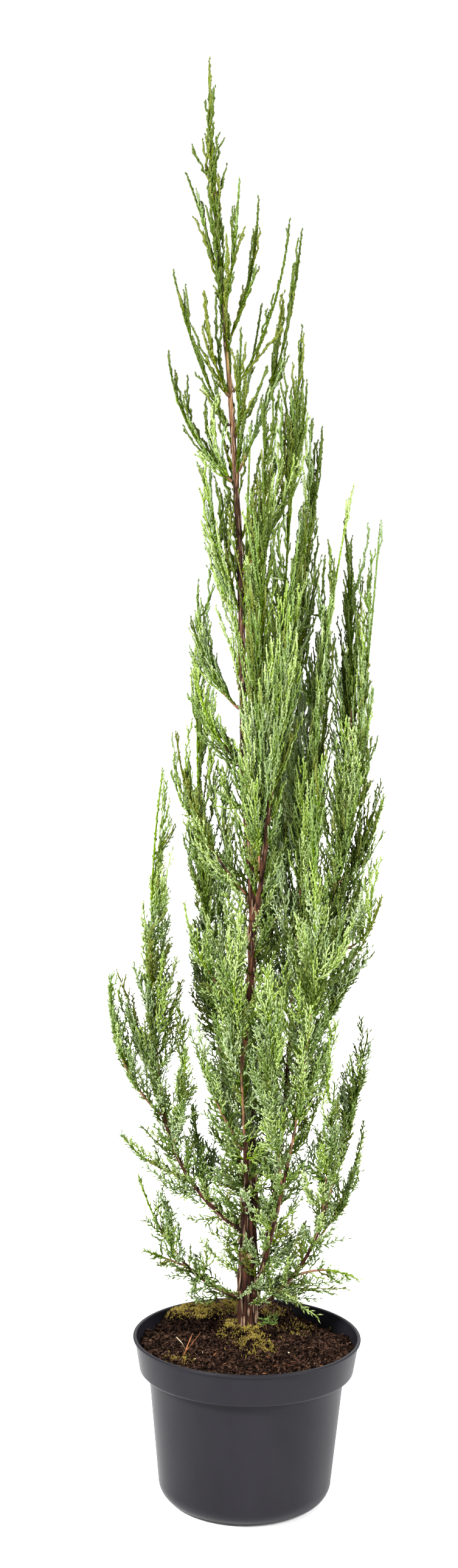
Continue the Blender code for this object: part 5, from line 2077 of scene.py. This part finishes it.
@dataclass
class Pot:
    """The moulded nursery pot: a rolled lip, a flared collar, and a slimmer body with a rounded foot."""

    height: float = 0.173
    lip_radius: float = 0.115
    lip_depth: float = 0.003
    lip_rounding: float = 0.0008
    bead: float = 0.0013
    collar_top_radius: float = 0.1130
    collar_foot_radius: float = 0.1085
    collar_height: float = 0.0357
    collar_rounding: float = 0.004
    body_top_radius: float = 0.0988
    body_foot_radius: float = 0.0878
    foot_rounding: float = 0.0233
    wall: float = 0.0018
    steps: int = 160

    @staticmethod
    def arc(centre: Pair, size: float, start: float, end: float, points: int) -> List[Place]:
        """Returns corners along an arc in the section, between angles in degrees."""
        turns = np.linspace(math.radians(start), math.radians(end), points)
        return [(centre[0] + size * math.cos(turn), 0.0, centre[1] + size * math.sin(turn)) for turn in turns]

    def outer_side(self, inset: float) -> List[Place]:
        """Draws the section from the collar's foot down to the middle of the underside.

        Args:
            inset: How far it is moved in.

        Returns:
            Its corners.
        """
        collar_foot, rounding = self.height - self.collar_height, self.collar_rounding
        centre = (self.collar_foot_radius - inset - rounding, collar_foot + rounding + inset)
        under = self.arc(centre, rounding, 0, -90, 8)
        size = self.foot_rounding - inset
        foot = self.arc((self.body_foot_radius - inset - size, inset + size), size, 0, -90, 14)
        top = self.body_top_radius - inset
        fillet = [
            (top + beside, 0.0, collar_foot + inset - below)
            for beside, below in ((0.0016, 0.0), (0.0003, 0.0006), (0.0, 0.002))
        ]
        taper, drop = self.body_foot_radius - self.body_top_radius, collar_foot - self.foot_rounding
        middle = [
            (top + taper * share, 0.0, drop * (1 - share) + self.foot_rounding) for share in (0.25, 0.5, 0.75)
        ]
        return under + fillet + middle + foot + [(0.0, 0.0, inset)]

    def section(self) -> List[Place]:
        """Returns the whole section: up the inside, over the lip, and down the outside."""
        inner, outer, bead = self.collar_top_radius - self.wall, self.collar_top_radius, self.bead
        low, small = self.height - self.lip_depth, self.lip_rounding
        lip = [(inner, 0.0, self.height - 0.0030)]
        lip += self.arc((inner + bead, self.height - bead), bead, 180, 90, 6)
        lip += self.arc((self.lip_radius - bead, self.height - bead), bead, 90, 0, 7)
        lip += self.arc((self.lip_radius - small, low + small), small, 0, -150, 5)
        lip += [(outer, 0.0, low - 0.0002), (outer - 0.0001, 0.0, low - 0.0012)]
        return self.outer_side(self.wall)[::-1] + lip + self.outer_side(0.0)

    def build(self) -> None:
        """Makes the pot."""
        shell = finished("pot_shell", spun(self.section(), self.steps), 32.0)
        placed(shell, POT_PLASTIC.material(), "pot_plastic", ("pot",))


POT_PLASTIC = Finish(
    "pot_satin", (23, 22, 26), (26, 25, 29), 26, roughness=0.36, specular=0.06, grain_scale=900, grain_depth=0.00012,
    stretch=(1.0, 1.0, 0.5),
)
FLOOR = Finish("floor_matt", (246, 246, 246), (250, 250, 250), 3, roughness=0.9, specular=0.1, grain_scale=60)


@dataclass(frozen=True)
class Lamp:
    """A soft area lamp that faces the middle of the plant."""

    name: str
    place: Place
    size: float
    power: float

    def build(self, target: Place) -> None:
        """Hangs the lamp.

        Args:
            target: What it faces.
        """
        data = bpy.data.lights.new(self.name, "AREA")
        data.shape, data.size, data.energy = "DISK", self.size, self.power
        lamp = linked(bpy.data.objects.new(self.name, data))
        lamp.location = self.place
        lamp.rotation_euler = (Vector(target) - Vector(self.place)).to_track_quat("-Z", "Y").to_euler()


@dataclass
class Studio:
    """The floor, the lamps, the surroundings and the camera."""

    middle: Place = (0.0, 0.0, 0.72)
    floor_radius: float = 60.0
    surroundings: float = 1.1
    lamps: Tuple[Lamp, ...] = (
        Lamp("key", (-2.2, -2.6, 3.2), 1.2, 520.0),
        Lamp("fill", (2.8, -2.0, 2.2), 1.4, 215.0),
        Lamp("back", (0.6, 3.0, 2.8), 2.0, 70.0),
    )

    def build(self) -> None:
        """Sets up the studio."""
        bm = bmesh.new()
        bmesh.ops.create_circle(bm, cap_ends=True, segments=96, radius=self.floor_radius)
        floor = finished("floor", bm)
        floor.data.materials.append(FLOOR.material())
        for lamp in self.lamps:
            lamp.build(self.middle)
        world = bpy.data.worlds.new("studio")
        world.use_nodes = True
        background = world.node_tree.nodes["Background"].inputs
        background["Color"].default_value = (1.0, 1.0, 1.0, 1.0)
        background["Strength"].default_value = self.surroundings
        bpy.context.scene.world = world
        bpy.context.scene.view_settings.view_transform = "Standard"
        self.camera()

    @staticmethod
    def camera() -> None:
        """Places the camera where the photograph was taken."""
        right, above, ahead = VIEW.axes()
        data = bpy.data.cameras.new("camera")
        data.lens, data.sensor_width, data.sensor_fit = VIEW.lens, VIEW.sensor, "AUTO"
        camera = linked(bpy.data.objects.new("camera", data))
        turned = Matrix((right, above, -ahead)).transposed().to_4x4()
        camera.matrix_world = Matrix.Translation(VIEW.place) @ turned
        bpy.context.scene.camera = camera


def main() -> None:
    """Builds the studio and the plant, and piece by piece."""
    logging.basicConfig(level=logging.INFO, format="%(name)s: %(message)s", stream=sys.stdout)
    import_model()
    skeleton = Skeleton()
    for part in (Studio(), Pot(), Ground(), Bark(skeleton), Foliage(skeleton)):
        part.build()


if __name__ == "__main__":
    main()
